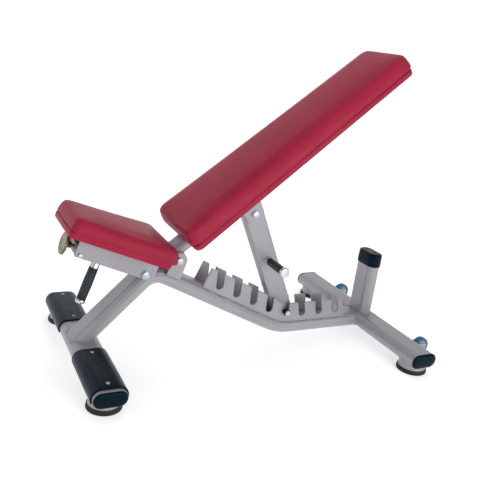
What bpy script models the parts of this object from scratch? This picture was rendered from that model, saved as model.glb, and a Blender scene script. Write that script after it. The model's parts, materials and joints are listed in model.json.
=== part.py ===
"""Adjustable weight bench: a bent flat-oval frame tube on two base tubes, a reclining back
pad held by a prop in a toothed ladder, and a tilting seat.

Lengths are metres, +Z is up, +X runs from the seat end to the head end, and the bench is
symmetric about Y = 0 apart from the grab peg on its prop.  Places are written from the centre
of the front base tube, and the last step moves the whole bench over its own middle.
"""
import math
from math import cos, pi, radians, sin, tan

import bmesh
import bpy
from mathutils import Matrix, Vector

# ------------------------------------------------------------------ driving dimensions
GAP = 0.0003                 # clearance between two pieces that touch
RUN = 0.0010                 # clearance between two pieces that move past each other

TUBE_WIDTH = 0.100           # flat-oval frame tube, across its flat
TUBE_HEIGHT = 0.050
TUBE_WALL = 0.003

BASE_SPACING = 1.076         # front base tube to rear base tube
BASE_HEIGHT = 0.057          # floor to the middle of both base tubes
FRONT_BASE_LENGTH = 0.680
REAR_BASE_LENGTH = 0.750

LEG_ANGLE = radians(45.5)    # front leg, up from the floor
BEAM_SLOPE = radians(26.0)   # sloping stretch of the frame tube, down from level
CROWN_X = 0.205              # where the leg and the slope would cross
CROWN_LIFT = 0.0285          # leg line's height over the front base tube's middle
CROWN_RADIUS = 0.062
DIP_RADIUS = 0.200           # bend between the slope and the level stretch

FOOT_RADIUS = 0.052
FOOT_THICK = 0.016
NECK_RADIUS = 0.0475
FRONT_FOOT_INSET = 0.059     # foot centre in from the tube's end
REAR_FOOT_INSET = 0.049

COVER_THICK = 0.004
COVER_INNER = 0.100          # where a foot cover starts, out from the middle
COVER_INSET = 0.010          # and where it stops, in from the tube's end
COVER_SCREW_INSET = 0.026
SCREW_RADIUS = 0.0055

LADDER_THICK = 0.008
LADDER_ROOM = 0.004          # between a ladder plate and the prop's ear
TOOTH_HEIGHT = 0.066         # above the frame tube, square to it
SLOT_WIDTH = 0.027
SLOT_FLOOR = 0.013           # solid plate left below a slot
SLOPE_PITCH = 0.068          # tooth to tooth along X on the slope
LEVEL_PITCH = 0.0725
SLOT_LEAN = radians(13.0)    # slots on the level stretch lean towards the seat
FREE_SLOPE_SLOTS = 4
LEVEL_SLOTS = 3
LADDER_NOSE = 0.021          # first tooth, ahead of its slot
LADDER_RAMP = 0.031          # sloping front edge of the plate, along X
LADDER_TAIL = 0.022          # last tooth, behind its slot
LADDER_SINK = 0.012          # plate carried below the tube's top before coping
BAR_OVER_FLOOR = 0.0248      # lock bar's middle above the solid plate below its slot

STUB_TOP = 0.318
STUB_CAP_HEIGHT = 0.050
STUB_ROOM = 0.005            # frame tube ends this far short of the stub post
WHEEL_RADIUS = 0.032
WHEEL_WIDTH = 0.024
WHEEL_Y = 0.252
WHEEL_HEIGHT = 0.043
WHEEL_SETBACK = 0.094        # wheel axle behind the rear base tube
AXLE_RADIUS = 0.005

BACK_PIVOT = (0.278, 0.337)
BACK_ANGLE = radians(39.6)
HUB_RADIUS = 0.027
PIVOT_BOLT_RADIUS = 0.008
PLATE_THICK = 0.006
BACK_START = 0.050           # pad end nearest the seat, from the pivot along the back
BACK_LENGTH = 0.932
BACK_WIDTH = 0.297
BACK_HEAD_WIDTH = 0.240      # the pad narrows towards the head
BACK_SEAT_HEIGHT = 0.034     # underside of the back board, above the pivot
BOARD_THICK = 0.012
BACK_PAD_THICK = 0.063
SPINE_WIDTH = 0.080
SPINE_HEIGHT = 0.036
SPINE_LENGTH = 0.640

PROP_ALONG = 0.2925          # prop pivot along the back and below the back board
PROP_BELOW = 0.093
PROP_WIDTH = 0.075
PROP_DEPTH = 0.040
PROP_LEAN = radians(64.67)   # prop, down from level
PROP_OVER = 0.034            # tube carried past its pivot and its lock bar
EAR_RADIUS = 0.034
BAR_RADIUS = 0.009
BUSH_RADIUS = 0.0125
PEG_DOWN = 0.186             # grab peg, down the prop from its pivot
PEG_LENGTH = 0.118
PEG_RADIUS = 0.0135

SEAT_PIVOT = (0.169, 0.295)
SEAT_ANGLE = radians(18.5)
RAIL_WALL = 0.004
RAIL_FRONT = 0.231           # rail in front of the seat pivot
RAIL_REAR = 0.032
RAIL_TOP = 0.0622            # seat board underside, above the pivot
RAIL_FRONT_DROP = 0.003      # rail's lower edge below the pivot, at its front and rear
RAIL_REAR_DROP = 0.014
SEAT_FRONT = 0.287
SEAT_REAR = 0.036
SEAT_FRONT_WIDTH = 0.226
SEAT_REAR_WIDTH = 0.304
SEAT_PAD_THICK = 0.043

GRIP_AHEAD = 0.142           # front grip, ahead of the seat pivot
GRIP_BOTTOM = 0.155
GRIP_RADIUS = 0.0143
LATCH_HEIGHT = 0.013         # pull rod above the seat pivot
LATCH_RADIUS = 0.0055
LATCH_PULL_OUT = 0.030       # finger plate in front of the rail
LATCH_PLATE_RADIUS = 0.036
SECTOR_RADIUS = 0.072        # lock plate's outer face, about the seat pivot
SECTOR_UP = radians(26)      # its reach above and below the seat's line
SECTOR_DOWN = radians(9.5)
SECTOR_CORE = 0.035          # solid round the seat's bolt, where the lock holes end
SECTOR_WIDTH = 0.050
SEAT_STEPS = (0, 12)         # degrees the seat's front comes down to each hole
LATCH_CLEAR = 0.0025         # lock tip kept this far off the lock plate

GUIDE_X = -RAIL_FRONT + 0.016
GUIDE_REAR = -GRIP_AHEAD + 0.024
GUIDE_LOW = -0.0022
GUIDE_RISE = 0.0125          # guide block above the pull rod's middle
GUIDE_BOLT_RADIUS = 0.003
GUIDE_BOLT_HEIGHT = 0.0038
SPRING_RADIUS = 0.0090
SPRING_WIRE = 0.0012
SPRING_LENGTH = 0.030
POCKET = 0.016

# ------------------------------------------------------------------ derived sizes
HALF_H = TUBE_HEIGHT / 2
FRONT_HALF = FRONT_BASE_LENGTH / 2
REAR_HALF = REAR_BASE_LENGTH / 2
BASE_TOP = BASE_HEIGHT + HALF_H
FRONT_FOOT_Y = FRONT_HALF - FRONT_FOOT_INSET
REAR_FOOT_Y = REAR_HALF - REAR_FOOT_INSET
COVER_OUTER = FRONT_HALF - COVER_INSET
CROWN_Z = BASE_HEIGHT + CROWN_X * tan(LEG_ANGLE) + CROWN_LIFT
DIP_X = CROWN_X + (CROWN_Z - BASE_HEIGHT) / tan(BEAM_SLOPE)
LEG_START = (CROWN_X - (CROWN_Z - BASE_HEIGHT) / tan(LEG_ANGLE), BASE_HEIGHT)
PROP_HALF = PROP_DEPTH / 2
EAR_INNER = PROP_HALF + RUN
EAR_OUTER = EAR_INNER + PLATE_THICK
LADDER_HALF_GAP = EAR_OUTER + LADDER_ROOM
LADDER_OUTER = LADDER_HALF_GAP + LADDER_THICK
HUB_HALF = TUBE_WIDTH / 2
BRACKET_INNER = HUB_HALF + RUN
BRACKET_OUTER = BRACKET_INNER + PLATE_THICK
RAIL_INNER = TUBE_WIDTH / 2 + RUN
RAIL_HALF = RAIL_INNER + RAIL_WALL


def place(x, z, y=0.0):
    return Vector((x, y, z))


def turned(point, angle, pivot):
    """A point given along and above a tilted piece, in the bench's own X and Z."""
    along, up = point
    return (pivot[0] + along * cos(angle) - up * sin(angle),
            pivot[1] + along * sin(angle) + up * cos(angle))


PROP_PIVOT = turned((PROP_ALONG, BACK_SEAT_HEIGHT - PROP_BELOW), BACK_ANGLE, BACK_PIVOT)

# The lock bar sits in the slot over the dip; the prop leans from its pivot down to it.
BAR_DROP = PROP_PIVOT[1] - (BASE_TOP + SLOT_FLOOR + BAR_OVER_FLOOR)
PROP_REACH = BAR_DROP / sin(PROP_LEAN)
LOCK_BAR = (PROP_PIVOT[0] + PROP_REACH * cos(PROP_LEAN), PROP_PIVOT[1] - BAR_DROP)


# ------------------------------------------------------------------ scene and materials
for old in list(bpy.data.objects):
    bpy.data.objects.remove(old, do_unlink=True)

bench = bpy.data.collections.new("adjustable_weight_bench")
cutters = bpy.data.collections.new("cutters")
for collection in (bench, cutters):
    bpy.context.scene.collection.children.link(collection)


def material(name, colour, roughness, metallic):
    made = bpy.data.materials.new(name)
    made.use_nodes = True
    shader = made.node_tree.nodes["Principled BSDF"]
    shader.inputs["Base Color"].default_value = (*colour, 1.0)
    shader.inputs["Roughness"].default_value = roughness
    shader.inputs["Metallic"].default_value = metallic
    return made


FRAME_PAINT = material("silver_paint", (0.40, 0.39, 0.42), 0.40, 0.35)
VINYL = material("crimson_vinyl", (0.42, 0.04, 0.07), 0.45, 0.0)
PLASTIC = material("black_plastic", (0.015, 0.020, 0.026), 0.35, 0.0)
RUBBER = material("black_rubber", (0.012, 0.013, 0.014), 0.75, 0.0)
CHROME = material("chrome", (0.80, 0.82, 0.84), 0.12, 1.0)
ZINC = material("zinc_plate", (0.55, 0.58, 0.60), 0.32, 1.0)
BRASS = material("yellow_zinc", (0.34, 0.30, 0.18), 0.38, 0.9)
WOOD = material("plywood", (0.30, 0.20, 0.11), 0.70, 0.0)
BLUE = material("blue_wheel", (0.01, 0.13, 0.28), 0.35, 0.0)
PALE = material("pale_hub", (0.62, 0.68, 0.72), 0.45, 0.0)


# ------------------------------------------------------------------ shape helpers
def adopt(obj, skin, parent=None, collection=bench):
    """Put a finished object in its collection, with its finish and its parent."""
    for home in list(obj.users_collection):
        home.objects.unlink(obj)
    collection.objects.link(obj)
    if skin is not None:
        obj.data.materials.clear()
        obj.data.materials.append(skin)
    if collection is cutters:
        obj.hide_render = True
        obj.display_type = "WIRE"
    obj.parent = parent
    return obj


def pivot(name, x, z, tilt=0.0, parent=None):
    """An empty on a joint's axis; a positive tilt lifts its far end."""
    empty = bpy.data.objects.new(name, None)
    bench.objects.link(empty)
    empty.location = (x, 0.0, z)
    empty.rotation_euler = (0.0, -tilt, 0.0)
    empty.parent = parent
    return empty


def arc(cx, cy, radius, start, end, steps):
    return [(cx + radius * cos(start + (end - start) * i / steps),
             cy + radius * sin(start + (end - start) * i / steps)) for i in range(steps + 1)]


def obround(width, height, steps=7):
    """A flat-oval outline, longest along its first axis."""
    r = height / 2
    reach = width / 2 - r
    return arc(reach, 0, r, -pi / 2, pi / 2, steps) + arc(-reach, 0, r, pi / 2, 3 * pi / 2, steps)


def rounded_box(width, height, radius, steps=3):
    x = width / 2 - radius
    y = height / 2 - radius
    corners = ((x, y, 0.0), (-x, y, pi / 2), (-x, -y, pi), (x, -y, 3 * pi / 2))
    return [p for cx, cy, a in corners for p in arc(cx, cy, radius, a, a + pi / 2, steps)]


UPRIGHT = Matrix.Rotation(pi / 2, 4, "X")        # an outline drawn in X and Z, thick along Y
ENDWAYS = Matrix(((0, 0, 1, 0), (1, 0, 0, 0), (0, 1, 0, 0), (0, 0, 0, 1)))   # in Y and Z, along X
LEVEL = Matrix.Identity(4)                       # in X and Y, thick along Z


def mesh_of(obj):
    """Turn a curve into a mesh object with its caps welded on."""
    graph = bpy.context.evaluated_depsgraph_get()
    mesh = bpy.data.meshes.new_from_object(obj.evaluated_get(graph))
    shell = bmesh.new()
    shell.from_mesh(mesh)
    bmesh.ops.remove_doubles(shell, verts=shell.verts, dist=1e-6)
    bmesh.ops.recalc_face_normals(shell, faces=shell.faces)
    shell.to_mesh(mesh)
    shell.free()
    name = obj.name
    matrix = obj.matrix_world.copy()
    bpy.data.objects.remove(obj, do_unlink=True)
    made = bpy.data.objects.new(name, mesh)
    made.matrix_world = matrix
    bench.objects.link(made)
    return made


def flat_solid(name, outlines, thickness, facing, at, skin, parent=None, collection=bench,
               edge=0.0):
    """A flat plate or a straight prism: a filled outline, with holes, and a thickness."""
    curve = bpy.data.curves.new(name, "CURVE")
    curve.dimensions = "2D"
    curve.fill_mode = "BOTH"
    curve.extrude = thickness / 2 - edge
    curve.bevel_depth = edge
    curve.bevel_resolution = 1
    curve.offset = -edge
    for outline in outlines:
        spline = curve.splines.new("POLY")
        spline.points.add(len(outline) - 1)
        for point, (x, y) in zip(spline.points, outline):
            point.co = (x, y, 0.0, 1.0)
        spline.use_cyclic_u = True
    obj = bpy.data.objects.new(name, curve)
    bench.objects.link(obj)
    obj.matrix_world = Matrix.Translation(at) @ facing
    bpy.context.view_layer.update()
    solid = mesh_of(obj)
    solid.data.transform(solid.matrix_world)
    solid.matrix_world = Matrix.Identity(4)
    return adopt(solid, skin, parent, collection)


def turned_solid(name, profile, axis, at, skin, parent=None, collection=bench, steps=24):
    """A lathe-turned piece: radius and height pairs, outer side first and top to bottom."""
    mesh = bpy.data.meshes.new(name)
    shell = bmesh.new()
    ring = [shell.verts.new((r, 0.0, h)) for r, h in profile]
    for first, second in zip(ring, ring[1:]):
        shell.edges.new((first, second))
    shell.to_mesh(mesh)
    shell.free()
    obj = bpy.data.objects.new(name, mesh)
    bench.objects.link(obj)
    screw = obj.modifiers.new("turn", "SCREW")
    screw.steps = steps
    screw.render_steps = steps
    screw.use_merge_vertices = True
    screw.merge_threshold = 1e-5
    obj.matrix_world = Matrix.Translation(at) @ Vector((0, 0, 1)).rotation_difference(
        Vector(axis)).to_matrix().to_4x4()
    return adopt(obj, skin, parent, collection)


def rod(name, radius, low, high, axis, at, skin, parent=None, collection=bench, edge=0.0006,
        steps=18):
    """A round bar with broken edges, from low to high along its axis."""
    profile = [(0.0, high), (radius - edge, high), (radius, high - edge),
               (radius, low + edge), (radius - edge, low), (0.0, low)]
    return turned_solid(name, profile, axis, at, skin, parent, collection, steps)


def ring(name, inner, outer, low, high, axis, at, skin, parent=None, edge=0.0008, steps=24):
    profile = [(inner, high), (outer - edge, high), (outer, high - edge), (outer, low + edge),
               (outer - edge, low), (inner, low), (inner, high)]
    return turned_solid(name, profile, axis, at, skin, parent, bench, steps)


def cut(obj, *tools):
    for tool in tools:
        saw = obj.modifiers.new("cut_" + tool.name, "BOOLEAN")
        saw.operation = "DIFFERENCE"
        saw.object = tool
    return obj


def block(name, low, high, skin=None, parent=None, collection=cutters):
    """A plain box between two corners."""
    mesh = bpy.data.meshes.new(name)
    shell = bmesh.new()
    bmesh.ops.create_cube(shell, size=1.0)
    size = [b - a for a, b in zip(low, high)]
    middle = [(a + b) / 2 for a, b in zip(low, high)]
    bmesh.ops.scale(shell, vec=size, verts=shell.verts)
    bmesh.ops.translate(shell, vec=middle, verts=shell.verts)
    shell.to_mesh(mesh)
    shell.free()
    return adopt(bpy.data.objects.new(name, mesh), skin, parent, collection)


def bent_tube(name, start, heading, moves, outline, wall, skin, collection=bench):
    """Sweep an outline along straight runs and bends in the X-Z plane."""
    shell = bmesh.new()
    side = Vector((0, 1, 0))
    up = Vector((-sin(heading), 0, cos(heading)))
    spot = place(*start)
    verts = [shell.verts.new(spot + side * a + up * b) for a, b in outline]
    edge_ring = [shell.edges.new((a, b)) for a, b in zip(verts, verts[1:] + verts[:1])]
    if not wall:
        shell.faces.new(verts)
    for kind, size, *angle in moves:
        forward = Vector((cos(heading), 0, sin(heading)))
        if kind == "run":
            grown = bmesh.ops.extrude_edge_only(shell, edges=edge_ring)["geom"]
            fresh = [g for g in grown if isinstance(g, bmesh.types.BMVert)]
            bmesh.ops.translate(shell, vec=forward * size, verts=fresh)
            edge_ring = [g for g in grown if isinstance(g, bmesh.types.BMEdge)]
            spot = spot + forward * size
        else:
            swing = angle[0]
            up = Vector((-sin(heading), 0, cos(heading)))
            centre = spot + up * (size if swing > 0 else -size)
            steps = max(4, round(abs(swing) / radians(9)))
            grown = bmesh.ops.spin(shell, geom=edge_ring, cent=centre, axis=(0, -1, 0),
                                   angle=swing, steps=steps)["geom_last"]
            edge_ring = [g for g in grown if isinstance(g, bmesh.types.BMEdge)]
            heading += swing
            spot = centre - Vector((-sin(heading), 0, cos(heading))) * (
                size if swing > 0 else -size)
    if not wall:
        bmesh.ops.contextual_create(shell, geom=edge_ring)
    bmesh.ops.recalc_face_normals(shell, faces=shell.faces)
    mesh = bpy.data.meshes.new(name)
    shell.to_mesh(mesh)
    shell.free()
    obj = bpy.data.objects.new(name, mesh)
    adopt(obj, skin, None, collection)
    if wall:
        skin_on = obj.modifiers.new("wall", "SOLIDIFY")
        skin_on.thickness = wall
        skin_on.offset = -1.0
        skin_on.use_even_offset = True
    return obj


def smooth(obj, angle=40.0):
    if obj.type == "MESH":
        obj.data.shade_smooth()
        obj.data.set_sharp_from_angle(angle=radians(angle))


SIDES = (("near", -1), ("far", 1))


def hollow_oval(width, height, wall):
    return [obround(width, height), obround(width - 2 * wall, height - 2 * wall)]


# ------------------------------------------------------------------ base tubes, caps, feet
def base_tube(name, x, length):
    return flat_solid(name, hollow_oval(TUBE_WIDTH, TUBE_HEIGHT, TUBE_WALL), length, UPRIGHT,
                      place(x, BASE_HEIGHT), FRAME_PAINT)


def base_cutter(name, x, length):
    return flat_solid(name, [obround(TUBE_WIDTH + 2 * GAP, TUBE_HEIGHT + 2 * GAP)],
                      length + 0.2, UPRIGHT, place(x, BASE_HEIGHT), None, None, cutters)


def end_cap(name, x, y_end, side):
    """A plug that sits in the tube's mouth and domes out past its rim."""
    width = TUBE_WIDTH - 2 * (TUBE_WALL + GAP)
    height = TUBE_HEIGHT - 2 * (TUBE_WALL + GAP)
    depth, dome = 0.026, 0.005
    middle = side * (y_end - depth / 2 + dome / 2)
    return flat_solid(name, [obround(width, height)], depth + dome, UPRIGHT,
                      place(x, BASE_HEIGHT, middle), PLASTIC, edge=dome)


def foot_neck(name, x, y, tube_cutter):
    """A turned steel cup, coped to the tube's underside and open to the floor."""
    low = FOOT_THICK + GAP
    high = BASE_HEIGHT - 0.008
    wall = 0.004
    flare = 0.0015
    profile = [(NECK_RADIUS - 2 * flare, high), (NECK_RADIUS - 2 * flare, low + 0.014),
               (NECK_RADIUS, low), (NECK_RADIUS - wall, low),
               (NECK_RADIUS - wall - 2 * flare, low + 0.014),
               (NECK_RADIUS - wall - 2 * flare, high), (NECK_RADIUS - 2 * flare, high)]
    neck = turned_solid(name, profile, (0, 0, 1), place(x, 0, y), FRAME_PAINT, steps=32)
    return cut(neck, tube_cutter)


def foot_pad(name, x, y):
    lip = 0.003
    profile = [(0.0, FOOT_THICK), (FOOT_RADIUS - lip, FOOT_THICK),
               (FOOT_RADIUS, FOOT_THICK - lip), (FOOT_RADIUS, lip / 2),
               (FOOT_RADIUS - lip / 2, 0.0), (0.0, 0.0)]
    return turned_solid(name, profile, (0, 0, 1), place(x, 0, y), RUBBER, steps=32)


front_cutter = base_cutter("front_base_cutter", 0.0, FRONT_BASE_LENGTH)
rear_cutter = base_cutter("rear_base_cutter", BASE_SPACING, REAR_BASE_LENGTH)
front_base = base_tube("front_base_tube", 0.0, FRONT_BASE_LENGTH)
rear_base = base_tube("rear_base_tube", BASE_SPACING, REAR_BASE_LENGTH)
for word, side in SIDES:
    end_cap("front_end_cap_" + word, 0.0, FRONT_HALF, side)
    end_cap("rear_end_cap_" + word, BASE_SPACING, REAR_HALF, side)
    foot_neck("front_foot_neck_" + word, 0.0, side * FRONT_FOOT_Y, front_cutter)
    foot_neck("rear_foot_neck_" + word, BASE_SPACING, side * REAR_FOOT_Y, rear_cutter)
    foot_pad("front_foot_pad_" + word, 0.0, side * FRONT_FOOT_Y)
    foot_pad("rear_foot_pad_" + word, BASE_SPACING, side * REAR_FOOT_Y)


# ------------------------------------------------------------------ covers on the front base
def cover_outline():
    """A jacket round the tube's top and both round sides, open underneath."""
    inside = HALF_H + GAP
    outside = inside + COVER_THICK
    reach = TUBE_WIDTH / 2 - HALF_H
    wrap = radians(52)
    return (arc(reach, 0, outside, -wrap, pi / 2, 10)
            + arc(-reach, 0, outside, pi / 2, pi + wrap, 10)
            + arc(-reach, 0, inside, pi + wrap, pi / 2, 10)
            + arc(reach, 0, inside, pi / 2, -wrap, 10))


def foot_cover(name, side):
    length = COVER_OUTER - COVER_INNER
    middle = side * (COVER_OUTER + COVER_INNER) / 2
    neck_room = rod("neck_room_" + name, NECK_RADIUS + GAP + 0.001, 0.0, BASE_HEIGHT, (0, 0, 1),
                    place(0, 0, side * FRONT_FOOT_Y), None, None, cutters, steps=32)
    cover = flat_solid(name, [cover_outline()], length, UPRIGHT,
                       place(0, BASE_HEIGHT, middle), PLASTIC)
    return cut(cover, neck_room)


def cover_screw(name, y):
    """A button-head screw through the cover into the tube's top wall."""
    seat = BASE_TOP + GAP + COVER_THICK
    shank = 0.0025
    room = rod("room_" + name, shank + GAP, BASE_TOP - 0.010, seat + 0.010, (0, 0, 1),
               place(0, 0, y), None, None, cutters, steps=16)
    head = [(0.0, seat + 0.0026), (SCREW_RADIUS * 0.6, seat + 0.0022),
            (SCREW_RADIUS, seat + 0.0008), (SCREW_RADIUS, seat + GAP), (shank, seat + GAP),
            (shank, BASE_TOP - 0.007), (0.0, BASE_TOP - 0.008)]
    turned_solid(name, head, (0, 0, 1), place(0, 0, y), ZINC, steps=20)
    return room


for word, side in SIDES:
    cover = foot_cover("foot_cover_" + word, side)
    for end, y in (("inner", COVER_INNER + COVER_SCREW_INSET),
                   ("outer", COVER_OUTER - COVER_SCREW_INSET)):
        hole = cover_screw(f"cover_screw_{word}_{end}", side * y)
        cut(cover, hole)
        cut(front_base, hole)


# ------------------------------------------------------------------ bent frame tube
def frame_moves():
    """The leg, the crown bend, the slope, the dip bend and the level stretch."""
    crown_turn = LEG_ANGLE + BEAM_SLOPE
    crown_set = CROWN_RADIUS * tan(crown_turn / 2)
    dip_set = DIP_RADIUS * tan(BEAM_SLOPE / 2)
    leg = math.dist((CROWN_X, CROWN_Z), LEG_START) - crown_set
    slope = math.dist((CROWN_X, CROWN_Z), (DIP_X, BASE_HEIGHT)) - crown_set - dip_set
    level = BASE_SPACING - DIP_X - dip_set
    return [("run", leg), ("bend", CROWN_RADIUS, -crown_turn), ("run", slope),
            ("bend", DIP_RADIUS, BEAM_SLOPE), ("run", level)]


frame_tube = bent_tube("main_frame_tube", LEG_START, LEG_ANGLE, frame_moves(),
                       obround(TUBE_WIDTH, TUBE_HEIGHT), TUBE_WALL, FRAME_PAINT)
inside_front = block("leg_trim", (LEG_START[0] - 0.2, -0.2, -0.1),
                     (LEG_START[0] + 0.2, 0.2, BASE_HEIGHT + 0.006))
inside_rear = block("level_trim", (BASE_SPACING - HALF_H - STUB_ROOM, -0.2, -0.1),
                    (BASE_SPACING + 0.2, 0.2, 0.2))
cut(frame_tube, front_cutter, rear_cutter, inside_front, inside_rear)
frame_cutter = bent_tube("frame_cutter", LEG_START, LEG_ANGLE, frame_moves(),
                         obround(TUBE_WIDTH + 2 * GAP, TUBE_HEIGHT + 2 * GAP), 0.0, None, cutters)


# ------------------------------------------------------------------ ladder plates
def tube_top(x):
    """Height of the frame tube's flat top over X, bends left square."""
    slope_top = BASE_TOP + (DIP_X - x) * tan(BEAM_SLOPE) + HALF_H * (1 / cos(BEAM_SLOPE) - 1)
    return max(slope_top, BASE_TOP)


def tooth_top(x):
    """Height of the teeth's tips over X; they level out just before the dip."""
    on_slope = x < DIP_X - 0.03
    return tube_top(x) + TOOTH_HEIGHT / (cos(BEAM_SLOPE) if on_slope else 1.0)


def ladder_outline():
    """Slots worked outwards from the one that holds the lock bar."""
    slots = []
    first = LOCK_BAR[0] - FREE_SLOPE_SLOTS * SLOPE_PITCH
    for i in range(FREE_SLOPE_SLOTS + 1):
        slots.append((first + i * SLOPE_PITCH, 0.0))
    for i in range(1, LEVEL_SLOTS + 1):
        slots.append((LOCK_BAR[0] + i * LEVEL_PITCH, SLOT_LEAN))
    r = SLOT_WIDTH / 2
    nose_x = slots[0][0] - r - LADDER_NOSE
    tail_x = slots[-1][0] + r + LADDER_TAIL
    ramp_x = nose_x - LADDER_RAMP
    points = [(ramp_x, tube_top(ramp_x) - LADDER_SINK), (nose_x, tooth_top(nose_x))]
    for x, lean in slots:
        floor = tube_top(x) + SLOT_FLOOR + r
        if abs(x - LOCK_BAR[0]) < 1e-6:
            floor = LOCK_BAR[1] - BAR_RADIUS - GAP + r
        for across, turn in ((-r, pi), (r, 0.0)):
            rise = tooth_top(x + across) - floor
            points.append((x + across * cos(lean) - rise * tan(lean), floor + rise))
            if across < 0:
                points += arc(x, floor, r, pi + lean, 2 * pi + lean, 8)
    points += [(tail_x - SLOT_LEAN * TOOTH_HEIGHT, tooth_top(tail_x)),
               (tail_x + LADDER_SINK, BASE_TOP - LADDER_SINK),
               (DIP_X, BASE_TOP - LADDER_SINK)]
    return points, slots


ladder_points, ladder_slots = ladder_outline()
for word, side in SIDES:
    middle = side * (LADDER_HALF_GAP + LADDER_THICK / 2)
    plate = flat_solid("ladder_plate_" + word, [ladder_points], LADDER_THICK, UPRIGHT,
                       place(0, 0, middle), FRAME_PAINT)
    cut(plate, frame_cutter)


# ------------------------------------------------------------------ stub post and wheels
stub = flat_solid("stub_post", hollow_oval(TUBE_WIDTH, TUBE_HEIGHT, TUBE_WALL),
                  STUB_TOP - BASE_HEIGHT - 0.010, Matrix.Rotation(pi / 2, 4, "Z"),
                  place(BASE_SPACING, (STUB_TOP + BASE_HEIGHT + 0.002) / 2), FRAME_PAINT)
cut(stub, rear_cutter)


def stub_cap():
    """A plastic cap that slides over the stub's mouth, holding it by a shallow skirt."""
    wall = 0.003
    outer = [obround(TUBE_WIDTH + 2 * (wall + GAP), TUBE_HEIGHT + 2 * (wall + GAP))]
    turn = Matrix.Rotation(pi / 2, 4, "Z")
    cap = flat_solid("stub_cap", outer, STUB_CAP_HEIGHT, turn,
                     place(BASE_SPACING, STUB_TOP + wall - STUB_CAP_HEIGHT / 2), PLASTIC,
                     edge=0.003)
    hollow = flat_solid("stub_cap_hollow",
                        [obround(TUBE_WIDTH + 2 * GAP, TUBE_HEIGHT + 2 * GAP)],
                        STUB_CAP_HEIGHT, turn,
                        place(BASE_SPACING, STUB_TOP - wall - STUB_CAP_HEIGHT / 2), None, None,
                        cutters)
    return cut(cap, hollow)


stub_cap()
AXLE_X = BASE_SPACING + WHEEL_SETBACK


def wheel_bracket(name, y):
    """A U-shaped fork behind the rear tube, coped to its round side."""
    inner = WHEEL_WIDTH / 2 + 0.002
    outer = inner + 0.004
    root = BASE_SPACING + TUBE_WIDTH / 2 - 0.012
    web = AXLE_X - WHEEL_RADIUS - 0.003
    tip = AXLE_X + 0.010
    outline = [(root, -outer), (tip, -outer), (tip, -inner), (web, -inner), (web, inner),
               (tip, inner), (tip, outer), (root, outer)]
    fork = flat_solid(name, [outline], 0.026, LEVEL, place(0, WHEEL_HEIGHT + 0.003, y),
                      FRAME_PAINT)
    hole = rod("axle_room_" + name, AXLE_RADIUS + GAP, -outer - 0.01, outer + 0.01, (0, 1, 0),
               place(AXLE_X, WHEEL_HEIGHT, y), None, None, cutters, steps=20)
    return cut(fork, rear_cutter, hole)


def wheel(word, y):
    hub = 0.62 * WHEEL_RADIUS
    axis = (0, 1, 0)
    half = WHEEL_WIDTH / 2
    spot = place(AXLE_X, WHEEL_HEIGHT, y)
    bore = AXLE_RADIUS + GAP
    ring("wheel_hub_" + word, bore, hub, -half + 0.001, half - 0.001, axis, spot, PALE)
    ring("wheel_tyre_" + word, hub + GAP, WHEEL_RADIUS, -half, half, axis, spot, BLUE,
         edge=0.003, steps=32)
    end = half + 0.002 + 0.004 + 0.002
    rod("wheel_axle_" + word, AXLE_RADIUS, -end, end, axis, spot, ZINC)


for word, side in SIDES:
    wheel_bracket("wheel_bracket_" + word, side * WHEEL_Y)
    wheel(word, side * WHEEL_Y)


# ------------------------------------------------------------------ hinge brackets
def hinge_bracket(name, side):
    """An upright plate on the slope that carries one end of the back's hinge bolt."""
    x, z = BACK_PIVOT
    top = arc(x, z, 0.026, radians(-8), radians(188), 12)
    outline = top + [(x - 0.040, tube_top(x - 0.040) - 0.014), (x + 0.008, tube_top(x) - 0.014)]
    plate = flat_solid(name, [outline], PLATE_THICK, UPRIGHT,
                       place(0, 0, side * (BRACKET_INNER + BRACKET_OUTER) / 2), FRAME_PAINT)
    hole = rod("bolt_room_" + name, PIVOT_BOLT_RADIUS + GAP, -0.1, 0.1, (0, 1, 0),
               place(x, z), None, None, cutters, steps=24)
    return cut(plate, frame_cutter, hole)


def bolt(name, radius, half, spot, parent=None, head=0.007, nut=0.007, skin=ZINC):
    """A headed pin across the bench, with its nut at the far end as one piece."""
    wide = radius * 1.75
    face = half + GAP
    profile = [(0.0, face + nut), (radius * 0.8, face + nut), (wide, face + nut * 0.8),
               (wide, face), (radius, face), (radius, -face), (wide, -face),
               (wide, -face - head * 0.6), (radius, -face - head), (0.0, -face - head)]
    return turned_solid(name, profile, (0, 1, 0), spot, skin, parent, steps=24)


for word, side in SIDES:
    hinge_bracket("hinge_bracket_" + word, side)
bolt("hinge_bolt", PIVOT_BOLT_RADIUS, BRACKET_OUTER, place(*BACK_PIVOT))


# ------------------------------------------------------------------ back: hub, spine, board, pad
back = pivot("back_pivot", *BACK_PIVOT, BACK_ANGLE)
ORIGIN = Vector((0, 0, 0))
ring("hinge_hub", PIVOT_BOLT_RADIUS + GAP, HUB_RADIUS, -HUB_HALF, HUB_HALF, (0, 1, 0), ORIGIN,
     FRAME_PAINT, back)
spine_top = BACK_SEAT_HEIGHT - GAP
spine = flat_solid("back_spine", hollow_oval(SPINE_WIDTH, SPINE_HEIGHT, TUBE_WALL), SPINE_LENGTH,
                   ENDWAYS, Vector((SPINE_LENGTH / 2, 0, spine_top - SPINE_HEIGHT / 2)),
                   FRAME_PAINT, back)
hub_room = rod("hub_room", HUB_RADIUS + GAP, -0.1, 0.1, (0, 1, 0), ORIGIN, None, back, cutters,
               steps=40)
spine_nose = block("spine_nose", (-0.1, -0.1, -0.1), (0.006, 0.1, 0.1), None, back)
cut(spine, hub_room, spine_nose)


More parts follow.
